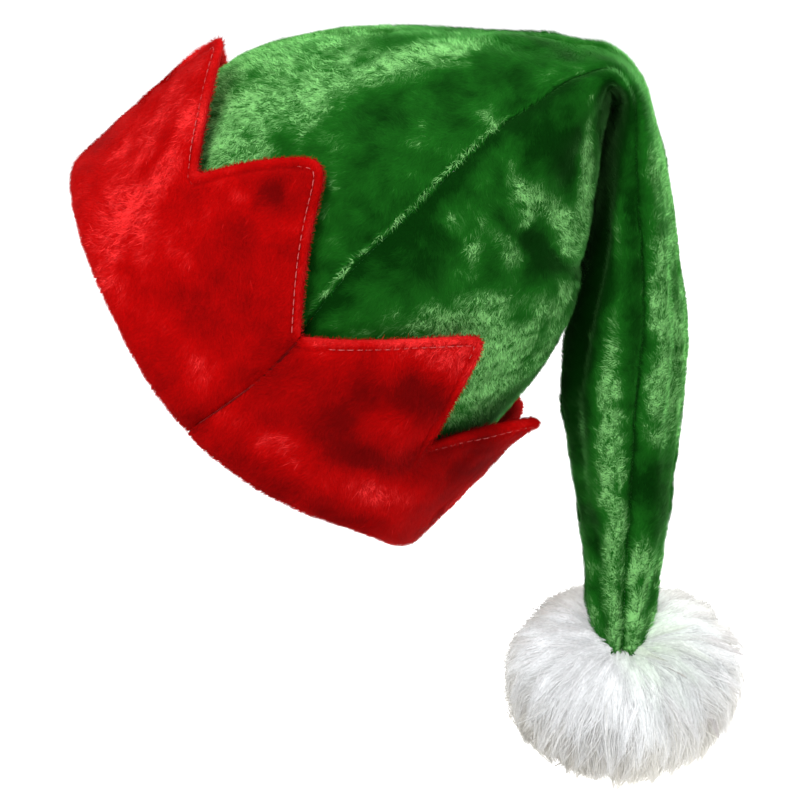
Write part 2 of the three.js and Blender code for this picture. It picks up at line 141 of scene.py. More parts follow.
# Folds of the plush, depth as a share of fold_depth, inward.
folds = [
    # angle, end angle, depth, spread, from, to
    [180, 180, 0.8, 17, 0.14, 0.5],
    [148, 150, -0.35, 20, 0.18, 0.48],
    [212, 210, -0.35, 20, 0.18, 0.48],
    [-4, -14, 0.5, 9, 0.24, 0.52],
    [18, 10, -0.2, 10, 0.26, 0.5],
    [-30, -32, -0.25, 12, 0.26, 0.5],
    [50, 62, 0.35, 20, 0.2, 0.44],
    [118, 128, 0.35, 14, 0.24, 0.46],
    [-58, -50, 0.3, 22, 0.2, 0.44],
    [238, 232, 0.3, 16, 0.24, 0.46],
    [142, 150, 0.28, 13, 0.58, 0.94],
    [218, 206, 0.3, 14, 0.6, 0.96],
    [32, 40, 0.16, 12, 0.6, 0.9],
    [-34, -44, 0.22, 13, 0.56, 0.94],
]

# Petals of the cuff: shares of petal_height, petal_flare and cuff_height.
petals = [
    # from, to, tip, height, flare, notch
    [0, 44, 21, 0.6, 1.0, 1.0],
    [44, 90, 66, 0.99, 0.2, 1.0],
    [90, 135, 129, 1.02, 0.15, 1.04],
    [135, 180, 161.5, 0.63, 0.68, 0.82],
    [180, 225, 201, 0.26, 0.5, 0.9],
    [225, 270, 240, 0.95, 0.3, 0.85],
    [270, 315, 293, 0.98, 0.25, 1.0],
    [315, 360, 337, 0.28, 0.5, 1.0],
]

# How far the cuff's side seam slants forward at the rim, in degrees, and how wide.
seam_slant = 4.5
slant_width = 34

# Waves of the rim, depth as a share of rim_dip.
rim_waves = [
    # angle, depth, spread
    [88, 1.0, 40],
    [140, -0.3, 22],
    [280, 0.9, 48],
]

# Dents of the cuff: shares of cuff_height and cuff_thickness.
cuff_dents = [
    # angle, height, depth, spread in degrees, spread as a share of cuff_height
    [120, 1.25, 0.35, 7, 0.3],
    [132, 0.7, 0.3, 6, 0.35],
    [104, 0.35, 0.15, 10, 0.25],
    [52, 0.75, 0.2, 9, 0.4],
    [78, 0.4, 0.15, 7, 0.3],
    [20, 0.7, 0.2, 8, 0.3],
    [236, 0.8, 0.3, 8, 0.35],
    [300, 0.7, 0.25, 9, 0.35],
    [64, 1.53, 0.3, 3, 0.08],
]

# Patches of the green plush: crushed pile, and rows of painted highlight and painted shade, each marked.
# length runs along the hat and width round it, in mm, and strength brightens (+) or darkens (-) the pile.
# Each patch has a fainter twin on the other side of the hat.
nap_and_painted_light_patches = [
    # at, angle, length, width, strength
    [0.182, 37, 54, 22, 0.33],
    [0.2, 46, 84, 46, 0.15],
    [0.28, 58, 40, 30, -0.08],
    [0.2, 12, 56, 20, 0.34],
    # Painted highlight along the crown's front edge.
    [0.22, -6, 50, 12, 0.4],
    # This row and the next: a painted highlight along the top ridge, and painted shade on the far bulge
    # beyond it.
    [0.312, 41, 40, 3, 0.5],
    [0.33, 14, 24, 14, -0.25],
    # Painted light that lifts the shadow of the cuff's first petal on the crown.
    [0.13, 28, 24, 20, 0.38],
    [0.152, 44, 26, 18, 0.3],
    [0.133, 54, 14, 14, 0.25],
    [0.16, 47, 12, 14, -0.3],
    # This row and the next: painted highlight along the top ridge.
    [0.289, 45, 34, 11, 0.38],
    [0.323, 42, 22, 10, 0.24],
    [0.349, 69, 10, 16, 0.35],
    [0.331, 116, 9, 9, 0.75],
    [0.336, 128, 9, 8, 0.75],
    [0.338, 140, 9, 8, 0.75],
    [0.338, 151, 12, 10, 0.7],
    # This row and the next two: a painted highlight along the lobe's edge at the fold-over.
    [0.375, 165, 16, 6, 0.8],
    [0.398, 160, 14, 6, 0.9],
    [0.42, 149, 12, 6, 0.8],
    [0.45, 128, 6, 5, 0.5],
    # This row and the next: painted shade in the gap between the crown's lobe and the tail.
    [0.478, 150, 10, 12, -0.7],
    [0.55, 152, 14, 14, -0.7],
    [0.256, 102, 5, 5, 0.5],
    [0.256, 109, 5, 6, 0.55],
    [0.25, 116, 6, 6, 0.45],
    [0.262, 120, 10, 12, -0.3],
    [0.303, 100, 7, 5, 0.4],
    [0.286, 124, 12, 7, 0.35],
    [0.196, 137, 26, 34, 0.6],
    [0.276, 158, 20, 12, 0.45],
    [0.179, 120, 16, 24, 0.4],
    [0.156, 147, 16, 20, 0.45],
    [0.393, 119, 8, 8, 0.25],
    [0.388, 122, 22, 22, -0.75],
    [0.31, 150, 6, 12, -0.3],
    [0.309, 136, 16, 12, -0.5],
    [0.223, 62, 40, 40, -0.2],
    [0.363, 59, 24, 20, -0.2],
    [0.2, 105, 26, 22, -0.42],
    [0.388, 44, 30, 30, -0.12],
    [0.612, 146, 6, 4, 0.6],
    [0.635, 118, 7, 4, 0.45],
    [0.658, 125, 9, 4, 0.5],
    [0.73, 124, 34, 7, 0.5],
    [0.79, 121, 24, 8, 0.4],
    [0.85, 106, 26, 10, 0.4],
    [0.715, 60, 40, 14, 0.62],
    # This row and the next: a painted highlight along the tail's front edge.
    [0.6, 15, 50, 5, 0.35],
    [0.75, 25, 60, 5, 0.35],
    [0.741, 76, 8, 10, -0.3],
    [0.662, 97, 60, 12, -0.25],
    [0.781, 89, 50, 9, -0.2],
    [0.773, 162, 60, 14, -0.45],
    # This row and the next: painted shade on the tail's far lobe.
    [0.57, 172, 34, 18, -0.6],
    [0.66, 174, 44, 14, -0.5],
    [0.744, 142, 50, 8, -0.2],
    [0.824, 123, 30, 8, 0.25],
    [0.848, 79, 14, 10, -0.25],
    [0.881, 62, 10, 8, -0.35],
    [0.807, 61, 30, 12, 0.4],
    [0.93, 112, 40, 14, 0.2],
    [0.978, 100, 14, 18, 0.22],
    [0.982, 66, 12, 14, 0.36],
    [0.947, 70, 24, 14, 0.2],
]

# Patches of the red plush: crushed pile, and rows of painted shade, each marked. height is a share of
# cuff_height.
cuff_patches = [
    # angle, height, width, tall, strength
    [39, 0.27, 12, 14, 0.3],
    [31, 0.48, 30, 24, 0.21],
    [22, 1.17, 14, 30, 0.15],
    [76, 0.32, 16, 10, 0.12],
    [74, 0.5, 30, 30, -0.08],
    # Darker third petal: partly crushed pile, partly painted shade where it faces away from the light.
    [114, 0.75, 42, 28, -0.43],
    [150, 0.6, 30, 40, -0.15],
    [58, 0.64, 6, 6, 0.25],
    [121, 0.87, 16, 10, 0.56],
    [124, 0.36, 20, 9, 0.28],
    [104, 0.3, 18, 10, 0.1],
    [92, 0.5, 16, 24, -0.08],
    [112, 0.3, 24, 12, 0.08],
    [99, 1.0, 12, 26, 0.28],
    [110, 1.52, 34, 12, 0.24],
    [23, 0.56, 7, 9, -0.22],
    [29, 0.92, 6, 8, -0.2],
    [33, 1.09, 7, 10, 0.3],
    [26, 0.7, 5, 8, 0.25],
    [38, 0.75, 5, 7, 0.2],
    [17, 0.45, 8, 8, 0.2],
    [31, 0.62, 4, 7, -0.2],
    [115, 0.25, 40, 10, 0.06],
    [99, 0.22, 20, 10, 0.05],
    # Painted shade along the rim's lower edge.
    [110, 0.02, 60, 9, -0.3],
    [137, 0.34, 20, 14, 0.2],
    # This row and the next: painted shade in the dimple near the second petal's tip, over the dent at 64
    # degrees.
    [64, 1.53, 5, 4, -0.4],
    [62, 1.43, 3, 5, -0.25],
    [65, 0.9, 20, 26, -0.1],
    # Painted shade in the dent at 120 degrees.
    [120, 1.2, 15, 12, -0.26],
    [124, 0.57, 16, 6, -0.26],
    [107, 0.92, 14, 14, -0.2],
    [146, 1.06, 20, 16, -0.3],
]

# Creases of the crown, from one place to another.
creases = [
    # at, angle, end at, end angle, depth, spread, both in mm
    [0.243, 160, 0.169, 145, 2.2, 4],
    [0.156, 155, 0.136, 147, 1.6, 4],
    [0.288, 102, 0.322, 172, 3.8, 4.5],
    [0.302, 150, 0.273, 127, 1.4, 6],
    [0.363, 102, 0.333, 130, 1.2, 6],
    [0.333, 32, 0.406, 46, 1.8, 5],
    [0.25, 250, 0.19, 228, 2.0, 6],
    [0.34, 300, 0.28, 270, 1.6, 7],
    [0.28, 31, 0.38, 30, 1.8, 3.5],
    [0.6, 90, 0.8, 90, 1.0, 2.5],
    [0.78, 90, 1.02, 90, 1.6, 2.5],
    [0.88, 143, 1.02, 136, 2.6, 4],
    [0.9, 34, 1.02, 42, 2.4, 4],
    [0.66, 128, 0.78, 134, 1.2, 4],
    [0.7, 50, 0.82, 44, 1.0, 5],
]

# Lobes that lean on each other at the fold-over, on the far side.
swells = [
    # at, angle, height, length, width, all in mm
    [0.44, 224, 6.0, 24, 14],
    [0.36, 214, 2.5, 40, 12],
    [0.27, 205, 2.0, 40, 12],
    [0.56, 208, 3.0, 26, 14],
    [0.72, 200, 2.5, 50, 12],
]

# Mesh steps
panel_rows = 132
panel_columns = 56
cuff_columns = 112
stitch_columns = 700
outer_rows = 36
rim_rows = 8
hem_rows = 5
inner_rows = 26

# Pile
green_blades = 180000
red_blades = 108000
pile_inset = 0.0012
knit_inset = 0.0004
pile_length = 0.0031
red_pile_length = 0.0026
blade_width = 0.00036
cuff_pile_inset = 0.0013
cuff_lining_inset = 0.0008
cuff_overlap = 0.012
curl_sway = 0.004
edge_round = 0.0034
stitch_inset = 0.0038
stitch_length = 0.0031
stitch_step = 0.0038
thread_width = 0.0004

# Where the stitches sink out of sight in the pile: angle and spread, in degrees.
buried_stitches = [(11, 9), (55, 9), (131, 3), (205, 8), (262, 8)]

# Fur
strand_count = 23000
lock_count = 560
lock_radius = 0.0045
longest_point = 0.22
strand_width = 0.0004

# The four points of a strand, from root to tip.
strand_steps = [
    # along, share of drift, share of wave, reach
    [0, 0, 0, 0.6],
    [0.3, 0.2, 1, 0.88],
    [0.65, 0.6, 0.4, 0.99],
    [1, 1, -0.6, 1],
]

# Where a fibre's points lie in its own cell of the picture plane.
blade_spots = [[0.1, 0.1], [0.9, 0.1], [0.5, 0.9]]
strand_spots = [[0.2, 0.05], [0.8, 0.05], [0.2, 0.35], [0.8, 0.35], [0.3, 0.7], [0.7, 0.7], [0.5, 0.95]]

# Colours, linear. Each plush has a dark, a middle and a light tone.
green_tones = np.array([[0.0014, 0.032, 0.0016], [0.009, 0.115, 0.008], [0.27, 0.62, 0.21]])
red_tones = np.array([[0.16, 0.0008, 0.0009], [0.42, 0.0012, 0.0012], [0.84, 0.036, 0.036]])
fur_white = np.array([0.63, 0.64, 0.65])
fur_shade = np.array([0.50, 0.475, 0.415])
fur_green = np.array([0.52, 0.68, 0.49])
fur_point = np.array([0.40, 0.36, 0.355])
knit_colour = np.array([0.03, 0.19, 0.045])
thread_colour = np.array([0.42, 0.03, 0.027])

rng = np.random.default_rng(7)


def smooth(low, high, value):
    t = np.clip((value - low) / (high - low), 0, 1)
    return t * t * (3 - 2 * t)


def bump(distance, spread):
    return np.exp(-((distance / spread) ** 2))


def turn(start, end):
    return (end - start + 540) % 360 - 180


def unit(vectors):
    return vectors / np.maximum(1e-12, np.linalg.norm(vectors, axis=-1, keepdims=True))


def mix(low, high, share):
    return low + (high - low) * share


def noise(points, size, seed):
    """Smooth random values from -1 to 1 with features of the given size."""
    cell = points / size + seed * 31.7
    base = np.floor(cell).astype(np.int64)
    t = cell - base
    t = t * t * (3 - 2 * t)
    total = np.zeros(points.shape[:-1])
    for corner in range(8):
        step = np.array([corner & 1, corner >> 1 & 1, corner >> 2 & 1])
        x, y, z = np.moveaxis(base + step, -1, 0)
        mixed = (x * 73856093) ^ (y * 19349663) ^ (z * 83492791)
        mixed = (mixed ^ (mixed >> 13)) * 1274126177 & 0x7FFFFFFF
        value = (mixed ^ (mixed >> 16)) % 65536 / 32767.5 - 1
        weight = np.prod(np.where(step, t, 1 - t), axis=-1)
        total += value * weight
    return total


def layers(points, *rows):
    """Noise added up over rows of strength, size and seed."""
    return sum(strength * noise(points, size, seed) for strength, size, seed in rows)


def line_lengths(points):
    """Distance of each point from the first one along its line."""
    steps = np.linalg.norm(np.diff(points, axis=0), axis=-1)
    return np.concatenate([np.zeros((1, *steps.shape[1:])), np.cumsum(steps, axis=0)])


# Shape of the crown and tail

def crown_sections():
    cos = math.cos(math.radians(crown_tilt))
    sin = math.sin(math.radians(crown_tilt))
    rows = []
    for at, front_along, front_across, back_along, back_across, width, side, lean, twist in crown_rows:
        rails = []
        for along, across in ((front_along, front_across), (back_along, back_across)):
            a = along * crown_length
            b = across * head_length / 2
            rails += [a * cos + b * sin, a * sin - b * cos]
        sizes = [width * head_width / 2, side * head_width / 2, lean * opening_lean, twist]
        rows.append([at, *rails, *sizes])
    return rows


def crown_back(sections, height):
    """How far back the crown's dented middle reaches at a height."""
    dent = folds[0][2] * fold_depth
    reach = -math.inf
    for low, high in zip(sections, sections[1:]):
        if low[4] <= height <= high[4]:
            share = (height - low[4]) / (high[4] - low[4])
            inward = dent * (1 - share) if high is sections[-1] else dent
            reach = low[3] + share * (high[3] - low[3]) - inward
    return reach


def tail_sections(crown):
    over_x, over_z = crown[-1][3:5]
    rows = []
    for at, outer_back, outer_drop, inner_back, inner_drop, width, side, twist in tail_rows:
        inner_z = over_z - inner_drop * tail_length
        inner_x = over_x + inner_back * tail_width
        push = max(0, crown_back(crown, inner_z) + tail_clearance - inner_x)
        outer_x = over_x + outer_back * tail_width + push
        outer_z = over_z - outer_drop * tail_length
        sizes = [width * tail_depth / 2, side * head_width / 2, 0, twist]
        rows.append([at, outer_x, outer_z, inner_x + push, inner_z, *sizes])
    return rows


crown = crown_sections()
sections = np.array(crown + tail_sections(crown))


def section_at(at):
    """The section at any place, on a smooth curve through the listed ones."""
    last = len(sections) - 1
    i = np.clip(np.searchsorted(sections[:, 0], at, side="left") - 1, 0, last - 1)
    before = sections[np.maximum(0, i - 1)]
    low = sections[i]
    high = sections[i + 1]
    after = sections[np.minimum(last, i + 2)]
    span = high[..., :1] - low[..., :1]
    t = (at[..., None] - low[..., :1]) / span
    slope_low = (high - before) / (high[..., :1] - before[..., :1]) * span
    slope_high = (after - low) / (after[..., :1] - low[..., :1]) * span
    result = low * (1 + 2 * t) * (1 - t) ** 2 + slope_low * t * (1 - t) ** 2
    return result + high * t * t * (3 - 2 * t) + slope_high * t * t * (t - 1)


def fold_at(at, angle):
    depth = np.zeros(at.shape)
    for start, end, share, spread, low, high in folds:
        fade = (high - low) / 3
        window = smooth(low, low + fade, at) * (1 - smooth(high - fade, high, at))
        centre = start + (end - start) * (at - low) / (high - low)
        depth += share * fold_depth * window * bump(turn(centre, angle), spread)
    return depth


def seam_reach(angle):
    """Degrees to the nearer side seam."""
    return np.minimum(np.abs(turn(90, angle)), np.abs(turn(270, angle)))


def seam_at(at, angle):
    tail = smooth(crown_end, tail_start, at)
    spread = mix(seam_spread, tail_seam_spread, tail)
    return seam_depth * smooth(0.1, 0.2, at) * (1 + tail) * bump(seam_reach(angle), spread)


def surface(at, seam_angle, inset=0.0):
    """A point of the plush, at an angle counted from the side seams at 90 and 270."""
    at, seam_angle = np.broadcast_arrays(np.asarray(at, float), np.asarray(seam_angle, float))
    _, front_x, front_z, back_x, back_z, width, side, lean, twist = np.moveaxis(section_at(at), -1, 0)
    angle = seam_angle + twist
    reach = np.hypot(front_x - back_x, front_z - back_z) / 2
    unit_x = (front_x - back_x) / (2 * reach)
    unit_z = (front_z - back_z) / (2 * reach)
    cos = np.cos(np.radians(angle))
    sin = np.sin(np.radians(angle))
    normal = np.hypot(cos * width, sin * reach)
    fold = fold_at(at, angle)
    depth = inset + seam_at(at, seam_angle)
    forward = cos * (reach - depth) - fold * cos * width / normal
    sideways = -sin * (width - depth) + fold * sin * reach / normal
    wave = sum(rim_dip * share * bump(turn(centre, angle), spread) for centre, share, spread in rim_waves)
    dip = wave * np.maximum(0, 1 - at / rim_wave_end) ** 2
    rise = sideways * np.sin(np.radians(lean)) - dip
    x = (front_x + back_x) / 2 + unit_x * forward + unit_z * rise
    y = side + sideways * np.cos(np.radians(lean))
    z = (front_z + back_z) / 2 + unit_z * forward - unit_x * rise
    return np.stack([x, y, z], -1)


def surface_normal(at, angle):
    low = np.maximum(0, at - 0.004)
    along = surface(low + 0.008, angle) - surface(low, angle)
    around = surface(at, angle + 0.5) - surface(at, angle - 0.5)
    return unit(np.cross(around, along))


def half_depth(section):
    """Half the distance from the front rail to the back one."""
    return np.hypot(section[..., 1] - section[..., 3], section[..., 2] - section[..., 4]) / 2


def ring_radius(at):
    section = section_at(at)
    return (section[..., 5] + half_depth(section)) / 2


def spot(along, angle, radius, centre, length, width):
    """A soft patch, 1 in its middle, with its length and width in mm."""
    u = along / (length * mm)
    v = np.radians(turn(centre, angle)) * radius / (width * mm)
    return np.exp(-(u ** 2) - v ** 2)


def crease_depth(at, angle):
    radius = ring_radius(at)
    depth = np.zeros(at.shape)
    for at_0, angle_0, at_1, angle_1, deep, spread in creases:
        u = (at - at_0) * run_length
        v = np.radians(turn(angle_0, angle)) * radius
        end_u = (at_1 - at_0) * run_length
        end_v = math.radians(angle_1 - angle_0) * ring_radius(np.array(at_0))
        length = math.hypot(end_u, end_v)
        along = np.clip((u * end_u + v * end_v) / length ** 2, 0, 1)
        off = np.hypot(u - along * end_u, v - along * end_v)
        fade = np.sin(np.pi * np.clip(along * 0.8 + 0.1, 0, 1))
        depth += deep * mm * fade * (bump(off, spread * mm) - 0.35 * bump(off, 2.5 * spread * mm))
    return depth


def plush_skin(at, angle, inset):
    """The surface with its creases, swells and soft ripples."""
    points = surface(at, angle, inset)
    ripple = layers(points, (1.1 * mm, 0.034, 1), (0.45 * mm, 0.013, 2))
    ripple = ripple * smooth(0.08, 0.16, at) * (1 - smooth(0.96, 1.0, at))
    rise = ripple - crease_depth(at, angle)
    radius = ring_radius(at)
    for place, middle, height, length, width in swells:
        along = (at - place) * run_length
        rise = rise + height * mm * spot(along, angle, radius, middle, length, width)
    return points + surface_normal(at, angle) * rise[..., None]


# Meshes and materials

def grid_quads(index):
    """Four-cornered faces between the rows and columns of a grid of point numbers."""
    return np.stack([index[:-1, :-1], index[:-1, 1:], index[1:, 1:], index[1:, :-1]], -1).reshape(-1, 4)


def cell_areas(grid):
    """Area of each cell of a grid of points."""
    across = grid[1:, 1:] - grid[:-1, :-1]
    down = grid[1:, :-1] - grid[:-1, 1:]
    return np.linalg.norm(np.cross(across, down), axis=-1) / 2


def make_object(name, points, faces, materials, colours=None, face_materials=None):
    mesh = bpy.data.meshes.new(name)
    mesh.from_pydata(points.tolist(), [], faces)
    for material in materials:
        mesh.materials.append(material)
    if face_materials is not None:
        mesh.polygons.foreach_set("material_index", np.asarray(face_materials, np.int32))
    mesh.polygons.foreach_set("use_smooth", np.ones(len(mesh.polygons), bool))
    if colours is not None:
        paint(mesh, colours)
    mesh.update()
    obj = bpy.data.objects.new(name, mesh)
    bpy.context.scene.collection.objects.link(obj)
    return obj


def paint(mesh, colours):
    layer = mesh.color_attributes.new("pile_colour", "FLOAT_COLOR", "POINT")
    rgba = np.ones((len(colours), 4), np.float32)
    rgba[:, :3] = colours
    layer.data.foreach_set("color", rgba.ravel())


def cell_spots(count, spots):
    """The same spots in a small cell of the picture plane for each of many fibres."""
    side = math.ceil(math.sqrt(count))
    index = np.arange(count)
    corner = np.stack([index % side, index // side], -1) / side
    return (corner[:, None, :] + 1 / side * np.array(spots)).reshape(-1, 2)


def fibre_mesh(name, points, corners, starts, shades, spots, shading, material):
    """A joined mesh of fibres, from the corners of all faces and where each face starts."""
    mesh = bpy.data.meshes.new(name)
    mesh.vertices.add(len(points))
    mesh.vertices.foreach_set("co", points.astype(np.float32).ravel())
    mesh.loops.add(len(corners))
    mesh.loops.foreach_set("vertex_index", corners.astype(np.int32))
    mesh.polygons.add(len(starts))
    mesh.polygons.foreach_set("loop_start", starts.astype(np.int32))
    mesh.update(calc_edges=True)
    mesh.polygons.foreach_set("use_smooth", np.ones(len(starts), bool))
    paint(mesh, shades)
    layer = mesh.uv_layers.new(name="OFBake")
    layer.data.foreach_set("uv", spots[corners].astype(np.float32).ravel())
    mesh.normals_split_custom_set_from_vertices(shading.tolist())
    mesh.materials.append(material)
    obj = bpy.data.objects.new(name, mesh)
    obj.visible_shadow = False
    bpy.context.scene.collection.objects.link(obj)
    return obj


def node_material(name, sockets):
    material = bpy.data.materials.new(name)
    material.use_nodes = True
    shader = material.node_tree.nodes["Principled BSDF"]
    for socket, value in sockets.items():
        shader.inputs[socket].default_value = value
    return material, material.node_tree, shader


def add_node(tree, kind, **values):
    node = tree.nodes.new(kind)
    for key, value in values.items():
        if key in node.inputs:
            node.inputs[key].default_value = value
        else:
            setattr(node, key, value)
    return node


def wire(tree, source, output, target, socket):
    tree.links.new(source.outputs[output], target.inputs[socket])


def two_tones(tree, source, output, shader, low, high):
    """The shader's colour, from low to high as the source's value rises."""
    ramp = add_node(tree, "ShaderNodeValToRGB")
    ramp.color_ramp.elements[0].color = (*low, 1)
    ramp.color_ramp.elements[1].color = (*high, 1)
    wire(tree, source, output, ramp, "Fac")
    wire(tree, ramp, "Color", shader, "Base Color")


def pile_material(name, sheen_tint, sheen, roughness, grain, translucency):
    """Pile in the colour of each fibre, with a fine grain that varies it."""
    sockets = {
        "Roughness": roughness,
        "Sheen Weight": sheen,
        "Sheen Roughness": 0.35,
        "Sheen Tint": (*sheen_tint, 1),
        "Specular IOR Level": 0.02,
    }
    material, tree, shader = node_material(name, sockets)
    colour = add_node(tree, "ShaderNodeAttribute", attribute_name="pile_colour")
    place = add_node(tree, "ShaderNodeTexCoord")
    speckle = add_node(tree, "ShaderNodeTexNoise", Scale=grain, Detail=3.0, Roughness=0.6)
    wire(tree, place, "Object", speckle, "Vector")
    limits = {"From Min": 0.25, "From Max": 0.75, "To Min": 0.82, "To Max": 1.15}
    spread = add_node(tree, "ShaderNodeMapRange", **limits)
    wire(tree, speckle, "Fac", spread, "Value")
    shade = add_node(tree, "ShaderNodeVectorMath", operation="SCALE")
    wire(tree, colour, "Color", shade, 0)
    wire(tree, spread, "Result", shade, "Scale")
    wire(tree, shade, "Vector", shader, "Base Color")
    through = add_node(tree, "ShaderNodeBsdfTranslucent")
    wire(tree, shade, "Vector", through, "Color")
    both = add_node(tree, "ShaderNodeMixShader", Fac=translucency)
    wire(tree, shader, "BSDF", both, 1)
    wire(tree, through, "BSDF", both, 2)
    wire(tree, both, "Shader", tree.nodes["Material Output"], "Surface")
    lift = add_node(tree, "ShaderNodeBump", Strength=0.3, Distance=0.0004)
    wire(tree, speckle, "Fac", lift, "Height")
    wire(tree, lift, "Normal", shader, "Normal")
    return material


def knit_material(name, colour):
    """Knitted backing: fine ribs crossed by courses."""
    material, tree, shader = node_material(name, {"Roughness": 0.9, "Specular IOR Level": 0.2})
    place = add_node(tree, "ShaderNodeTexCoord")
    ribs = add_node(tree, "ShaderNodeTexWave", Scale=260.0, Distortion=1.5, Detail=1.0)
    courses = add_node(tree, "ShaderNodeTexWave", Scale=210.0, Distortion=1.5, bands_direction="Z")
    wire(tree, place, "Object", ribs, "Vector")
    wire(tree, place, "Object", courses, "Vector")
    loops = add_node(tree, "ShaderNodeMath", operation="MULTIPLY")
    wire(tree, ribs, "Fac", loops, 0)
    wire(tree, courses, "Fac", loops, 1)
    two_tones(tree, loops, "Value", shader, 0.55 * colour, colour)
    lift = add_node(tree, "ShaderNodeBump", Strength=0.5, Distance=0.0005)
    wire(tree, loops, "Value", lift, "Height")
    wire(tree, lift, "Normal", shader, "Normal")
    return material


def thread_material(name, colour):
    """Twisted thread: light and dark bands across the stitch."""
    material, tree, shader = node_material(name, {"Roughness": 0.55, "Sheen Weight": 0.2})
    place = add_node(tree, "ShaderNodeTexCoord")
    twist = add_node(tree, "ShaderNodeTexWave", Scale=900.0, bands_direction="DIAGONAL")
    wire(tree, place, "Object", twist, "Vector")
    two_tones(tree, twist, "Fac", shader, 0.6 * colour, colour)
    return material


# Pile

def cell_places(grid, weights, count):
    """Random places on a grid of points, as many for each area as its weight asks."""
    share = cell_areas(grid) * (weights[1:, 1:] + weights[:-1, :-1]) / 2
    total = np.cumsum(share.ravel())
    picks = (np.arange(count) + rng.random(count)) / count * total[-1]
    cell = np.minimum(np.searchsorted(total, picks), len(total) - 1)
    row, column = np.divmod(cell, grid.shape[1] - 1)
    return row, column, rng.random(count), rng.random(count)


def blend(grid, places):
    """Values of a grid at places in its cells."""
    row, column, u, v = places
    if grid.ndim == 3:
        u = u[:, None]
        v = v[:, None]
    top = mix(grid[row, column], grid[row, column + 1], v)
    return mix(top, mix(grid[row + 1, column], grid[row + 1, column + 1], v), u)


def grid_normals(grid):
    return unit(np.cross(np.gradient(grid, axis=1), np.gradient(grid, axis=0)))


def pile_colours(bright, tones):
    dark, mid, light = tones
    low = np.clip(bright * 2, 0, 1)[:, None]
    high = np.clip(bright * 2 - 1, 0, 1)[:, None] ** 1.25
    return mix(mix(dark, mid, low), light, high)


def grow_pile(name, roots, normals, lays, lengths, leans, ruffle, colours, material, slot):
    """A joined mesh of pile: one tapering blade for each root."""
    count = len(roots)
    across = unit(np.cross(normals, lays))
    reach = normals * np.cos(leans)[:, None] + lays * np.sin(leans)[:, None]
    half = across * (blade_width / 2 * (0.7 + 0.6 * rng.random(count)))[:, None]
    tips = roots + reach * lengths[:, None]
    points = np.stack([roots + half, roots - half, tips], 1).reshape(-1, 3)
    shading = np.stack([normals, normals, 0.75 * normals + 0.45 * reach], 1)
    shading = shading + (ruffle[:, None] * rng.standard_normal((count, 3)))[:, None, :]
    shading = unit(shading).reshape(-1, 3)
    # Painted shade towards the blades' roots, deep in the pile.
    depth = np.array([0.85, 0.85, 1.0])
    shades = (colours[:, None, :] * depth[None, :, None]).reshape(-1, 3)
    corners = np.arange(3 * count)
    spots = cell_spots(count, blade_spots)
    obj = fibre_mesh(name, points, corners, corners[::3], shades, spots, shading, material)
    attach(obj, "root")


def laid_flat(directions, normals):
    return unit(directions - normals * np.sum(directions * normals, -1, keepdims=True))


def ruffled(lays, normals, roots, crushed, waves, whorls, loose):
    """Lays of the pile turned in broad waves, and in small whorls where it is crushed."""
    sway = layers(roots, *waves) + crushed * layers(roots, *whorls)
    sway = sway + (0.25 + loose * crushed) * rng.standard_normal(len(roots))
    return lays * np.cos(sway)[:, None] + np.cross(normals, lays) * np.sin(sway)[:, None]


def sort_along(keys, *arrays):
    order = np.lexsort(keys)
    return [array[order] for array in arrays]


# Crown and tail

def petal_at(angle):
    """Height of the zigzag edge, turn-out there and height of the petal's tip."""
    table = np.array(petals, float)
    wrapped = angle % 360
    index = np.clip(np.searchsorted(table[:, 1], wrapped, side="left"), 0, len(table) - 1)
    low, high, tip, height, flare, notch = np.moveaxis(table[index], -1, 0)
    next_notch = table[(index + 1) % len(table), 5]
    base = cuff_height * mix(notch, next_notch, (wrapped - low) / (high - low))
    off = np.where(wrapped < tip, (tip - wrapped) / (tip - low), (wrapped - tip) / (high - tip))
    full = math.hypot(1, petal_round)
    peak = (full - np.hypot(off, petal_round)) / (full - petal_round)
    edge = base + petal_height * height * peak
    return edge, petal_flare * flare * (1 - flare_fade * off ** 2), base + petal_height * height


def climb_tables(angles):
    """Heights up the crown's surface along lines of constant angle."""
    places = np.linspace(0, crown_end, 85)
    points = surface(places[:, None], angles[None, :])
    return places, line_lengths(points)


def hidden_share(at, angle):
    """1 where the cuff covers the crown, 0 in the open."""
    angles = np.arange(0, 361, 1.5)
    places, heights = climb_tables(angles)
    edge, flare, _ = petal_at(angles)
    covered = edge - cuff_overlap - flare
    top = [np.interp(covered[k], heights[:, k], places) for k in range(len(angles))]
    limit = np.interp(angle % 360, angles, top)
    return 1 - smooth(-0.01, 0.0, at - limit)


def curls(along, around, points, size, seed, level=0.0):
    """Fine curly streaks on the flattened cloth, from -1 to 1."""
    u = along + curl_sway * noise(points, 0.006, seed)
    v = around + curl_sway * noise(points, 0.007, seed + 1)
    flat = np.stack([u, v, 0 * u + level], -1)
    return layers(flat, (0.6, size, seed + 2), (0.4, 2 * size, seed + 3))


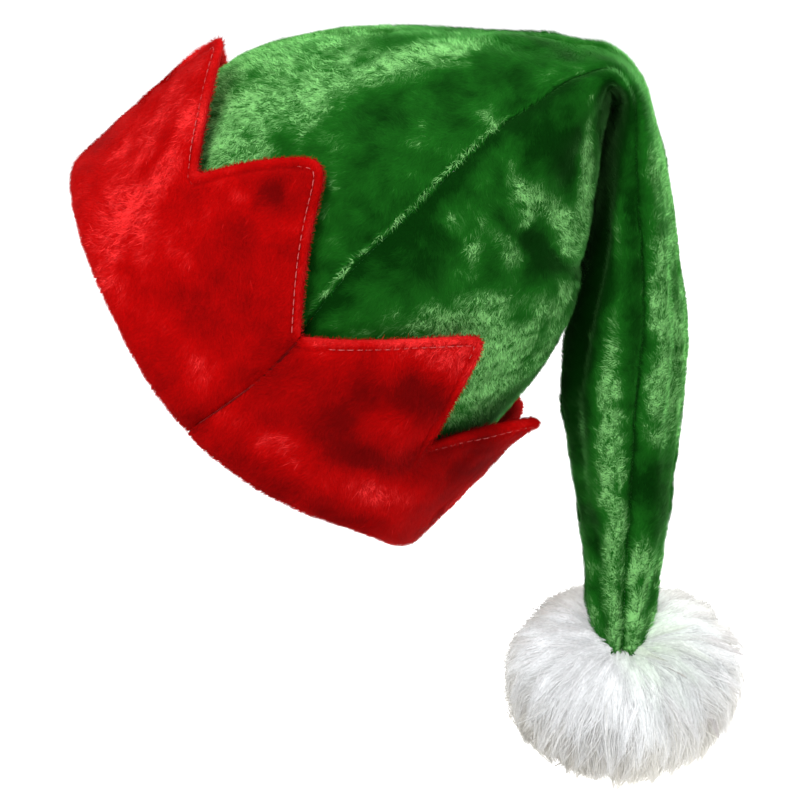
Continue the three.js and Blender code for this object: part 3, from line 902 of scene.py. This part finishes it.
def nap_and_painted_light(at, angle, points):
    """Brightness of the green pile, 0.5 for its own green: crushed pile and patches, with painted shade in
    the creases and along the seams, and painted highlights on the crease lips and seam edges.
    """
    radius = ring_radius(at)
    bright = 0.38 + layers(points, (0.2, 0.03, 3), (0.26, 0.012, 4), (0.17, 0.005, 5), (0.09, 0.002, 25))
    for place, middle, length, width, strength in nap_and_painted_light_patches:
        along = (at - place) * run_length
        for centre, share in ((middle, 1.0), (360 - middle, 0.8)):
            bright += 0.85 * share * strength * spot(along, angle, radius, centre, length, width)
    reach = np.radians(seam_reach(angle)) * radius
    front = np.abs(turn(0, angle)) < 90
    # Along the crown's seams: a painted highlight on the front panel's edge and painted shade on the back
    # panel's side.
    seam_lip_highlight = 0.55 + 0.2 * (1 - smooth(0.16, 0.24, at)) - 0.4 * smooth(0.3, 0.42, at)
    seam_lip_highlight = seam_lip_highlight * bump(reach - 1.7 * mm, 1.4 * mm)
    beside = np.where(front, seam_lip_highlight, -0.3 * bump(reach - 2 * mm, 4 * mm))
    bright += beside * smooth(0.08, 0.14, at) * (1 - smooth(0.42, 0.5, at))
    # Along the tail's seams: a painted highlight on the back panel's edge.
    pale = np.where(front, 0, 0.3 * bump(reach - 1.4 * mm, 1.2 * mm))
    bright += pale * smooth(0.6, 0.64, at) * (1 - smooth(0.76, 0.84, at))
    # Painted shade in the creases, and a painted highlight on their lips.
    bright -= 0.14 * crease_depth(at, angle) / mm
    bright = np.where(bright > 0.5, 0.5 + 0.36 * np.tanh((bright - 0.5) / 0.42), bright)
    crushed = smooth(0.48, 0.78, bright)
    around = np.radians(angle) * radius
    bright += (0.05 + 0.42 * crushed) * curls(at * run_length * 0.7, around, points, 0.001, 21)
    # Painted shade in the seam valley.
    return bright - 0.45 * bump(reach, 1.1 * mm)


def make_panel(node, centre, plush, backing):
    at = np.linspace(0, 1, panel_rows + 1)[:, None]
    margin = np.degrees(seam_gap / 2 / half_depth(section_at(at)))
    angle = centre + (90 - margin) * np.linspace(-1, 1, panel_columns + 1)[None, :]
    at = np.broadcast_to(at, angle.shape)
    outer = plush_skin(at, angle, pile_inset)
    inner = plush_skin(at, angle, plush_wall - knit_inset)
    points = np.concatenate([outer.reshape(-1, 3), inner.reshape(-1, 3)])
    layer = at.size
    index = np.arange(layer).reshape(at.shape)
    quads = grid_quads(index)
    border = np.concatenate([index[0, :], index[1:, -1], index[-1, -2::-1], index[-2:0:-1, 0]])
    rim = np.stack([border, np.roll(border, -1), np.roll(border, -1) + layer, border + layer], -1)
    faces = quads.tolist() + (quads[:, ::-1] + layer).tolist() + rim[:, ::-1].tolist()
    # The cloth under the pile, at 0.9 of the pile's colour: painted shade under the pile.
    shades = 0.9 * pile_colours(nap_and_painted_light(at, angle, outer).ravel(), green_tones)
    shades = np.concatenate([shades, shades])
    sides = np.concatenate([np.zeros(len(quads)), np.ones(len(quads)), np.zeros(len(rim))])
    cloth = make_object(node + "_cloth", points, faces, [plush, backing], shades, sides)
    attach(cloth, "root")
    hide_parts(node)
    return cloth, outer, at, angle


def grow_green(name, outer, at, angle, material):
    weights = 1 - 0.98 * hidden_share(at, angle)
    places = cell_places(outer, weights, green_blades)
    roots = blend(outer, places)
    skin_normals = grid_normals(outer)
    if np.sum(skin_normals * surface_normal(at, angle)) < 0:
        skin_normals = -skin_normals
    normals = unit(blend(skin_normals, places))
    along = unit(np.gradient(outer, axis=0))
    place = blend(at, places)
    around = blend(angle, places)
    bright = nap_and_painted_light(place, around, roots)
    lays = laid_flat(-blend(along, places), normals)
    crushed = smooth(0.5, 0.8, bright)
    waves = ((1.1, 0.028, 6), (0.9, 0.009, 7), (0.5, 0.003, 8))
    whorls = ((1.2, 0.003, 31), (0.9, 0.0016, 32))
    lays = ruffled(lays, normals, roots, crushed, waves, whorls, 0.4)
    leans = np.radians(66 - 10 * crushed + 9 * noise(roots, 0.006, 9) + 5 * rng.standard_normal(len(roots)))
    lengths = pile_length * (1 + 0.18 * noise(roots, 0.008, 10) + 0.14 * rng.standard_normal(len(roots)))
    lengths = lengths * (1 - 0.28 * crushed)
    spark = (0.05 + 0.3 * crushed) * rng.standard_normal(len(roots))
    colours = pile_colours(bright + spark, green_tones)
    ruffle = 0.08 + 0.3 * crushed
    keys = (around, np.floor(place * 400))
    sorted_arrays = sort_along(keys, roots, normals, lays, lengths, leans, ruffle, colours)
    grow_pile(name, *sorted_arrays, material, "green_plush")


# Cuff

def edge_distance(arc, heights, edge_arc, edge_height):
    """Distance to the zigzag edge on the flattened cuff."""
    nearest = np.full(heights.shape, np.inf)
    step_u = np.diff(edge_arc)
    step_v = np.diff(edge_height)
    for u0, v0, du, dv in zip(edge_arc[:-1], edge_height[:-1], step_u, step_v):
        share = np.clip(((arc - u0) * du + (heights - v0) * dv) / (du * du + dv * dv), 0, 1)
        off = np.hypot(arc - u0 - share * du, heights - v0 - share * dv)
        nearest = np.minimum(nearest, off)
    return nearest


def cuff_dent(angle, heights):
    depth = np.zeros(np.broadcast(angle, heights).shape)
    for centre, level, share, spread, tall in cuff_dents:
        rise = bump(heights / cuff_height - level, tall)
        depth += share * cuff_thickness * bump(turn(centre, angle), spread) * rise
    return depth


def slanted(angles, heights):
    """Angles round the hat of the cuff's columns, at heights over the rim."""
    share = np.clip(1 - heights / cuff_height, 0, 1) ** 1.5
    return angles - seam_slant * share * bump(turn(90, angles), slant_width)


class CuffShape:
    """Maps the flattened cuff, angle and height over the rim, onto the crown."""

    def __init__(self, angles):
        self.angles = angles
        self.places, self.table = climb_tables(angles)
        self.top, self.flare, self.tip = petal_at(angles)
        turns = np.linspace(-4, 4, 9)
        near = np.mean([petal_at(angles + turn_by)[0] for turn_by in turns], axis=0)
        self.top = np.minimum(self.top, near)
        low = slanted(angles, 0)
        self.rim = surface(np.zeros(len(angles)), low)
        self.rim_normal = surface_normal(np.zeros(len(angles)), low)
        self.rim_up = unit(surface(np.full(len(angles), 0.01), low) - self.rim)
        self.arc = line_lengths(surface(np.full(len(angles), 0.12), angles))

    def place(self, heights, offsets):
        """Points at heights up the surface and offsets from it, a row of columns each."""
        at = np.stack([
            np.interp(heights[:, k], self.table[:, k], self.places) for k in range(len(self.angles))
        ], 1)
        angles = slanted(np.broadcast_to(self.angles, at.shape), heights)
        below = np.minimum(heights, 0)[..., None]
        up = surface(at, angles) + surface_normal(at, angles) * offsets[..., None]
        down = self.rim + self.rim_up * below + self.rim_normal * offsets[..., None]
        return np.where(heights[..., None] > 0, up, down)

    def stand(self, heights):
        share = np.maximum(0, (heights / self.tip - flare_start) / (1 - flare_start))
        ease = cuff_ease * smooth(0, cuff_height, heights)
        return cuff_clearance + ease + self.flare * share ** flare_curl

    def wall(self, heights, distance, seam_distance):
        """Offsets of the wall's outer and inner face."""
        half = (cuff_thickness - cuff_pile_inset - cuff_lining_inset) / 2
        middle = self.stand(heights) + cuff_lining_inset + half
        edge = np.sqrt(np.clip(1 - (1 - np.minimum(distance / edge_round, 1)) ** 2, 0, 1))
        pinch = 0.38 * bump(distance - stitch_inset, 0.0011)
        puff = 0.0012 * smooth(0.005, 0.016, distance)
        back = np.abs(turn(180, self.angles)) < 90
        seam = np.where(back, 0.3 * bump(seam_distance, 0.0016), 0.6 * bump(seam_distance, 0.004))
        lap = np.where(back, 0.002, -0.0005) * bump(seam_distance - 0.003, 0.006)
        swell = 0.0009 * noise(self.place(heights, middle), 0.02, 11)
        outer = middle + half * edge * (1 - pinch) * (1 - seam) + puff * (1 - seam)
        outer = outer + (swell + lap - cuff_dent(self.angles, heights)) * smooth(0, 0.004, distance)
        return outer, middle - half * edge


def edge_line(centre, shape):
    """The zigzag edge on the flattened cuff and past its seams, as arcs and heights."""
    wide = CuffShape(centre + np.linspace(-96, 96, 6 * cuff_columns))
    return wide.arc - np.interp(shape.angles[0], wide.angles, wide.arc), wide.top


def wall_rows(shape, edge, shares):
    """Heights at shares of the way down the wall, distance to the edge and both offsets."""
    heights = shape.top[None, :] * (1 - shares[:, None] ** 1.8)
    distance = edge_distance(shape.arc[None, :], heights, *edge)
    seam_distance = np.minimum(shape.arc, shape.arc[-1] - shape.arc)[None, :]
    return heights, distance, *shape.wall(heights, distance, seam_distance)


def cuff_rows(shape, edge):
    """Rows round the cuff's section: heights, offsets and the distance to the edge."""
    columns = len(shape.top)
    down = np.linspace(0, 1, outer_rows + 1)
    up = np.linspace(1, 0, inner_rows + 1)[:-1]
    heights, distance, outer, _ = wall_rows(shape, edge, down)
    inner_heights, inner_distance, _, inner = wall_rows(shape, edge, up)
    out = outer[-1]
    deep = plush_wall + cuff_clearance + hem_wall
    slot = plush_wall + cuff_clearance
    rows = [(heights, outer, distance)]
    far = np.ones((1, columns))
    for k in range(1, rim_rows + 1):
        bend = math.pi * k / rim_rows
        offset = (out - deep) / 2 + (out + deep) / 2 * math.cos(bend)
        rows.append((-far * (cuff_thickness - 0.001) * math.sin(bend), offset[None, :], far))
    for k in range(1, hem_rows + 1):
        height = hem_height * k / hem_rows
        rows.append((far * height, -far * deep, far))
    for k in range(hem_rows, -1, -1):
        height = hem_height * k / hem_rows
        rows.append((far * height, -far * slot, far))
    rows.append((-far * cuff_clearance, -far * plush_wall / 2, far))
    rows.append((inner_heights, np.maximum(inner, cuff_clearance), inner_distance))
    return [np.vstack(part) for part in zip(*rows)]


def make_cuff(node, centre, plush):
    margin = math.degrees(seam_gap / 2 / (head_length / 2))
    reach = 90 - margin
    angles = centre + reach * np.linspace(-1, 1, cuff_columns + 1)
    shape = CuffShape(angles)
    heights, offsets, distance = cuff_rows(shape, edge_line(centre, shape))
    grid = shape.place(heights, offsets)
    index = np.arange(heights.size).reshape(heights.shape)
    quads = grid_quads(np.vstack([index, index[:1]]))
    faces = quads.tolist() + [index[::-1, 0].tolist(), index[:, -1].tolist()]
    grid_angles = slanted(np.broadcast_to(angles, heights.shape), heights)
    bright = red_nap_and_painted_light(grid_angles, heights, grid, distance)
    # The cloth under the pile, at 0.9 of the pile's colour: painted shade under the pile.
    shades = 0.9 * pile_colours(bright.ravel(), red_tones)
    body = make_object(node + "_cloth", grid.reshape(-1, 3), faces, [plush], shades)
    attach(body, "root")
    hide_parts(node)
    return shape, grid, heights, distance, grid_angles


def red_nap_and_painted_light(angle, heights, points, distance):
    """Brightness of the red pile, 0.5 for its own red: crushed pile and patches, with painted highlights
    along the rolled edges and painted shade along the stitch lines.
    """
    bright = 0.44 + layers(points, (0.12, 0.026, 12), (0.14, 0.01, 13), (0.07, 0.004, 14))
    for middle, level, width, tall, strength in cuff_patches:
        up = heights - level * cuff_height
        for centre, share in ((middle, 1.0), (360 - middle, 0.7)):
            bright += share * strength * spot(up, angle, head_radius, centre, tall, width)
    crushed = smooth(0.48, 0.75, bright)
    around = np.radians(angle) * head_radius
    bright += (0.05 + 0.28 * crushed) * curls(0.5 * heights, around, points, 0.0012, 27, 0.002)
    # Painted highlight along the rolled edge and painted shade along the stitch line.
    return bright + 0.13 * bump(distance, 0.003) - 0.15 * bump(distance - stitch_inset, 0.0008)


def grow_red(name, cuff, material):
    shape, grid, heights, distance, grid_angles = cuff
    rows = len(grid)
    row = np.arange(rows)[:, None]
    rim_end = outer_rows + rim_rows
    on_outside = row <= rim_end
    on_inside = (row > rows - inner_rows) & (distance < 0.03 + 0.4 * shape.flare[None, :])
    weights = np.where(on_outside, 1.0, np.where(on_inside, 0.55, 0.0))
    weights = np.broadcast_to(weights, heights.shape)
    # The section is a closed loop, so its first row follows the last one.
    loop = np.vstack([grid, grid[:1]])
    weights = np.vstack([weights, np.ones((1, weights.shape[1]))])
    places = cell_places(loop, weights, red_blades)
    normals = grid_normals(np.vstack([grid[-2:], grid, grid[:2]]))[2:-1]
    if np.sum(normals[outer_rows // 2] * shape.rim_normal) < 0:
        normals = -normals
    roots = blend(loop, places)
    normals = unit(blend(normals, places))
    around = blend(np.vstack([grid_angles, grid_angles[:1]]), places)
    level = blend(np.vstack([heights, heights[:1]]), places)
    away = blend(np.vstack([distance, np.zeros((1, distance.shape[1]))]), places)
    bright = red_nap_and_painted_light(around, level, roots, away)
    down = unit(np.gradient(np.vstack([grid[-1:], grid, grid[:1]]), axis=0)[1:])
    lays = laid_flat(blend(down, places), normals)
    crushed = smooth(0.5, 0.8, bright)
    waves = ((1.0, 0.026, 15), (0.8, 0.009, 16), (0.5, 0.003, 17))
    whorls = ((1.2, 0.003, 33), (0.9, 0.0016, 34))
    lays = ruffled(lays, normals, roots, crushed, waves, whorls, 0.35)
    count = len(roots)
    edge = 1 - smooth(0.001, 0.0045, away)
    leans = 66 - 8 * crushed + 8 * noise(roots, 0.006, 18) + 5 * rng.standard_normal(count)
    leans = np.radians(mix(leans, 52 + 9 * rng.standard_normal(count), edge))
    lengths = red_pile_length * (1 + 0.18 * noise(roots, 0.008, 19) + 0.14 * rng.standard_normal(count))
    lengths = lengths * (1 - 0.6 * bump(away - stitch_inset, 0.0008)) * (1 - 0.25 * edge)
    spark = (0.05 + 0.18 * crushed) * rng.standard_normal(count)
    stray = rng.random(count) < 0.001 + 0.06 * smooth(0.55, 0.75, bright)
    spark = spark + np.where(stray, 0.3, 0)
    lengths = lengths * np.where(stray, 1.6, 1 - 0.2 * crushed)
    colours = pile_colours(bright + spark, red_tones)
    keys = (around, np.floor(level * 1200))
    ruffle = 0.08 + 0.25 * crushed
    sorted_arrays = sort_along(keys, roots, normals, lays, lengths, leans, ruffle, colours)
    grow_pile(name, *sorted_arrays, material, "red_plush")


def stitch_line(shape, edge):
    """Heights of the line that runs beside the zigzag edge, one for each column."""
    low = shape.top - 0.02
    high = shape.top
    for _ in range(24):
        middle = (low + high) / 2
        inside = edge_distance(shape.arc, middle, *edge) > stitch_inset
        low = np.where(inside, middle, low)
        high = np.where(inside, high, middle)
    return (low + high) / 2


def make_stitches(name, centre, material):
    shape = CuffShape(centre + 89.4 * np.linspace(-1, 1, stitch_columns))
    heights = stitch_line(shape, edge_line(centre, shape))[None, :]
    distance = np.full(heights.shape, stitch_inset)
    outer, _ = shape.wall(heights, distance, np.full(heights.shape, 0.1))
    rise = 0.0005 + 0.0006 * noise(shape.place(heights, outer)[0], 0.01, 26)
    for middle, spread in buried_stitches:
        rise = rise - 0.0012 * bump(turn(middle, shape.angles), spread)
    path = shape.place(heights, outer + rise[None, :])[0]
    normals = unit(shape.place(heights, outer + 0.002)[0] - path)
    run = line_lengths(path)
    spin = math.pi / 3 * np.arange(6)[:, None]
    index = np.arange(24).reshape(4, 6)
    tube = grid_quads(np.hstack([index, index[:, :1]]))
    points = []
    faces = []
    for begin in np.arange(0.0015, run[-1] - stitch_step, stitch_step):
        along = begin + stitch_length * np.array([0, 0.25, 0.75, 1])
        centres = np.stack([np.interp(along, run, path[:, k]) for k in range(3)], -1)
        normal = np.array([np.interp(begin, run, normals[:, k]) for k in range(3)])
        forward = unit(centres[-1] - centres[0])
        across = unit(np.cross(normal, forward))
        ring = across * np.cos(spin) + normal * np.sin(spin)
        first = 6 * len(points)
        for middle, size, sink in zip(centres, (0.35, 1, 1, 0.35), (0.7, 0, 0, 0.7)):
            points.append(middle + thread_width * (ring * size / 2 - normal * sink))
        faces += (first + tube).tolist()
        faces += [(first + index[0, ::-1]).tolist(), (first + index[-1]).tolist()]
    stitches = make_object(name, np.concatenate(points), faces, [material])
    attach(stitches, "root")


# Pompom

tail_end = (surface(1.0, 0.0) + surface(1.0, 180.0)) / 2
ball_centre = tail_end + np.array([0, pompom_behind * pompom_depth, -pompom_drop * pompom_height])
ball_radii = np.array([pompom_width, pompom_depth, pompom_height]) / 2
ball_pole = unit(np.array([0, -pompom_behind * pompom_depth, pompom_drop * pompom_height]))
ball_side = np.array([1.0, 0, 0])
ball_front = np.cross(ball_pole, ball_side)


def on_ball(polar, around, share):
    """A point of the ball of fur, at angles from the pole where the tail ends."""
    sin = np.sin(np.radians(polar))
    cos = np.cos(np.radians(polar))
    direction = (
        (sin * np.sin(around))[..., None] * ball_side
        + (sin * -np.cos(around))[..., None] * ball_front
        + cos[..., None] * ball_pole
    )
    reach = share * (1 - fur_parting * bump(polar, parting_spread))
    return direction * ball_radii * reach[..., None] + ball_centre


def nearest_clump(points, clumps):
    nearest = np.empty(len(points), int)
    for start in range(0, len(points), 4000):
        part = points[start:start + 4000]
        gaps = ((part[:, None, :] - clumps[None, :, :]) ** 2).sum(-1)
        nearest[start:start + 4000] = np.argmin(gaps, axis=1)
    return nearest


def make_core(material):
    polar = np.linspace(4, 176, 40)[:, None]
    around = np.linspace(0, 2 * np.pi, 60, endpoint=False)[None, :]
    polar, around = np.broadcast_arrays(polar, around)
    share = 0.66 + 0.03 * noise(on_ball(polar, around, np.ones(polar.shape)), 0.012, 20)
    points = on_ball(polar, around, share)
    index = np.arange(polar.size).reshape(polar.shape)
    quads = grid_quads(np.hstack([index, index[:, :1]]).T)
    faces = quads.tolist() + [index[0].tolist(), index[-1, ::-1].tolist()]
    # The core, seen between the strands, takes fur_shade: painted shade deep in the fur.
    shades = np.tile(fur_shade, (polar.size, 1))
    core = make_object("pompom_core", points.reshape(-1, 3), faces, [material], shades)
    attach(core, "root")
    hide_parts("pompom")


def fur_lines(count):
    """Random lines from the parting over the ball: four points each, tip angle and strays."""
    cos_tip = mix(math.cos(math.radians(12)), -1.0, rng.random(count))
    tip_polar = np.degrees(np.arccos(cos_tip))
    around = 2 * np.pi * rng.random(count)
    sweep = 18 + 42 * np.sin(np.radians(np.clip(tip_polar, 0, 150))) + 6 * rng.standard_normal(count)
    root_polar = np.maximum(2, tip_polar - sweep)
    tip_share = 0.985 + 0.03 * rng.standard_normal(count) - 0.2 * rng.random(count) ** 2
    stray = rng.random(count) < 0.03
    tip_share = np.where(stray, tip_share + 0.09 * rng.random(count), tip_share)
    tip_share = tip_share + 0.07 * smooth(0.3, 0.9, np.sin(around) * np.sin(np.radians(tip_polar)))
    drift = 0.09 * rng.standard_normal(count)
    wave = 0.1 * rng.standard_normal(count)
    steps = []
    for along, side, swing, reach in strand_steps:
        polar = mix(root_polar, tip_polar, along)
        steps.append(on_ball(polar, around + side * drift + swing * wave, tip_share * reach))
    low = smooth(60, 150, tip_polar)
    steps[-1][:, 2] -= 0.001 + low * 0.003 * (1 + rng.random(count))
    for step in steps:
        away = step - ball_centre
        polar = np.degrees(np.arccos(np.clip(unit(away) @ ball_pole, -1, 1)))
        step -= away * (strand_parting * bump(polar, 20))[:, None]
    return steps, tip_polar, stray


def make_locks():
    """The locks' own lines; towards the side away from the rim some end in long points."""
    locks = fur_lines(lock_count)[0]
    away = locks[-1] - ball_centre
    facing = unit(away) @ unit(np.array([1.0, 0.0, 0.35]))
    point = np.where(rng.random(lock_count) < 0.5, rng.random(lock_count), 0) * smooth(0.2, 0.6, facing)
    locks[-1] = locks[-1] + away * (longest_point * point)[:, None]
    return locks, point


def along_strip(values):
    """Values of a strand's four points, for the seven points of its strip."""
    return np.concatenate([np.repeat(values[:, :3], 2, axis=1), values[:, 3:]], 1)


def grow_fur(name, locks, pointed, material):
    """Long strands that sweep out from the tail's end, drawn together into pointed locks."""
    count = strand_count
    steps, tip_polar, stray = fur_lines(count)
    lock = nearest_clump(steps[-1], locks[-1])
    pull = np.where(stray, 0.1, 0.45 + 0.4 * rng.random(count))
    pull = mix(pull, 0.96, np.minimum(1, 2 * pointed[lock]))[:, None]
    aside = []
    for step, line, strength in zip(steps, locks, (0.0, 0.35, 0.7, 1.0)):
        gap = line[lock] - step
        aside.append(-gap)
        step += gap * pull * strength
    off_axis = np.linalg.norm(aside[2], axis=1)
    points = np.stack(steps, 1)
    radial = unit(points - ball_centre)
    line = unit(np.gradient(points, axis=1))
    across = unit(np.cross(line, radial) + 0.3 * rng.standard_normal((count, 1, 3)))
    facing = np.sum(np.cross(across, line) * radial, -1, keepdims=True)
    across = np.where(facing < 0, -across, across)
    width = strand_width * (0.7 + 0.6 * rng.random(count))[:, None, None]
    half = across[:, :3] * width * np.array([0.5, 0.5, 0.38])[None, :, None]
    strip = np.stack([points[:, :3] - half, points[:, :3] + half], 2).reshape(count, 6, 3)
    strip = np.concatenate([strip, points[:, 3:]], 1)
    # Painted shade at the edges of each lock, between the locks.
    shade_between_locks = 0.12 * smooth(0.4, 1.6, off_axis / lock_radius)
    tone = lock_tones[lock]
    near_tail = bump(tip_polar, 38)[:, None] * smooth(-0.3, 0.6, radial[:, 3, 0])[:, None]
    # Painted shade: strands that end far from the tail's end, and those on the back of the ball, mix
    # towards fur_shade.
    behind = 0.55 * smooth(-0.2, 0.3, radial[:, 3, 1])
    low = np.maximum(smooth(70, 125, tip_polar), behind)[:, None]
    white = mix(fur_white, fur_green, near_tail)
    white = mix(white, fur_shade, 0.8 * low)
    white = white * (0.97 - shade_between_locks + 0.06 * tone + 0.03 * rng.standard_normal(count))[:, None]
    # Painted shade towards the strands' roots, lighter at the tips.
    depth = np.array([0.86, 0.86, 0.91, 0.91, 0.97, 0.97, 1.03])
    shades = white[:, None, :] * depth[None, :, None]
    tip_tint = 0.8 * pointed[lock][:, None] * np.array([0, 0, 0, 0, 0.6, 0.6, 1.0])[None, :]
    shades = np.clip(mix(shades, fur_point, tip_tint[..., None]), 0, 0.97)
    faces = np.array([[0, 1, 3, 2], [2, 3, 5, 4]])
    first = 7 * np.arange(count)
    quads = (first[:, None, None] + faces[None]).reshape(-1, 4)
    ends = first[:, None] + np.array([[4, 5, 6]])
    corners = np.concatenate([quads.ravel(), ends.ravel()])
    starts = np.concatenate([np.arange(0, quads.size, 4), quads.size + np.arange(0, ends.size, 3)])
    outward = unit(strip - ball_centre)
    bulge = along_strip(np.clip(np.stack(aside, 1) / lock_radius, -1.4, 1.4))
    shading = outward + 0.3 * bulge + 0.2 * along_strip(line)
    shading = unit(shading + 0.1 * rng.standard_normal((count, 1, 3))).reshape(-1, 3)
    points = strip.reshape(-1, 3)
    shades = shades.reshape(-1, 3)
    spots = cell_spots(count, strand_spots)
    fur = fibre_mesh(name, points, corners, starts, shades, spots, shading, material)
    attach(fur, "root")


# Stage, lights and camera

def area_light(name, place, target, size, power):
    light = bpy.data.lights.new(name, "AREA")
    light.shape = "DISK"
    light.size = size
    light.energy = power
    obj = bpy.data.objects.new(name, light)
    obj.location = place
    direction = np.array(target) - np.array(place)
    flat = math.hypot(direction[0], direction[1])
    obj.rotation_euler = (math.atan2(flat, -direction[2]), 0, math.atan2(-direction[0], direction[1]))
    bpy.context.scene.collection.objects.link(obj)


def make_stage():
    floor_drop = 0.06
    radius = 14.0
    height = cad_bounds[0][2] - floor_drop
    angles = np.linspace(0, 2 * math.pi, 96, endpoint=False)
    ring = [(radius * math.cos(angle), radius * math.sin(angle), height) for angle in angles]
    material, tree, shader = node_material("studio_floor", {"Roughness": 0.9, "Specular IOR Level": 0.1})
    place = add_node(tree, "ShaderNodeTexCoord")
    grain = add_node(tree, "ShaderNodeTexNoise", Scale=3.0)
    wire(tree, place, "Object", grain, "Vector")
    two_tones(tree, grain, "Fac", shader, (0.93, 0.93, 0.93), (0.96, 0.96, 0.96))
    floor = make_object("studio_floor", np.array(ring), [list(range(len(ring)))], [material])


def light_scene():
    scene = bpy.context.scene
    scene.view_settings.view_transform = "Standard"
    world = bpy.data.worlds.new("studio")
    world.use_nodes = True
    background = world.node_tree.nodes["Background"]
    background.inputs["Color"].default_value = (1, 1, 1, 1)
    background.inputs["Strength"].default_value = 1.0
    scene.world = world
    middle = (0.06, 0, 0)
    area_light("key", (-0.75, -1.65, 1.7), middle, 0.9, 62)
    area_light("top", (0.2, 0.3, 1.9), middle, 1.0, 28)
    area_light("rim", (1.5, 1.2, 0.8), middle, 0.8, 46)
    area_light("fill", (1.2, -1.8, 0.1), middle, 1.2, 8)


def make_camera():
    distance = 2.0
    elevation = 12
    field_width = 0.344
    centre_right = 0.0632
    centre_up = -0.0228
    sin = math.sin(math.radians(elevation))
    cos = math.cos(math.radians(elevation))
    camera = bpy.data.cameras.new("camera")
    camera.sensor_width = 36
    camera.lens = camera.sensor_width * distance / field_width
    camera.clip_end = 60
    obj = bpy.data.objects.new("camera", camera)
    y = centre_up * sin - distance * cos
    z = centre_up * cos + distance * sin
    obj.location = (centre_right, y, z)
    obj.rotation_euler = (math.radians(90 - elevation), 0, 0)
    bpy.context.scene.collection.objects.link(obj)
    bpy.context.scene.camera = obj


green_plush = pile_material("green_plush", (0.3, 1.0, 0.25), 0.5, 0.8, 900.0, 0.35)
red_plush = pile_material("red_plush", (1.0, 0.1, 0.1), 0.15, 0.8, 900.0, 0.35)
white_fur = pile_material("white_fur", (1.0, 1.0, 1.0), 0.15, 0.7, 700.0, 0.25)
knit_backing = knit_material("knit_backing", knit_colour)
thread = thread_material("red_thread", thread_colour)

for node, centre in (("front_panel", 0), ("back_panel", 180)):
    cloth, outer, at, angle = make_panel(node, centre, green_plush, knit_backing)
    grow_green(node + "_pile", outer, at, angle, green_plush)

for node, centre in (("front_cuff", 0), ("back_cuff", 180)):
    cuff = make_cuff(node, centre, red_plush)
    grow_red(node + "_pile", cuff, red_plush)
    make_stitches(node + "_stitches", centre, thread)

make_core(white_fur)
fur_locks, pointed_locks = make_locks()
lock_tones = rng.random(lock_count)
grow_fur("pompom_fur", fur_locks, pointed_locks, white_fur)
grow_fur("pompom_fur_inner", fur_locks, pointed_locks, white_fur)
make_stage()
light_scene()
make_camera()
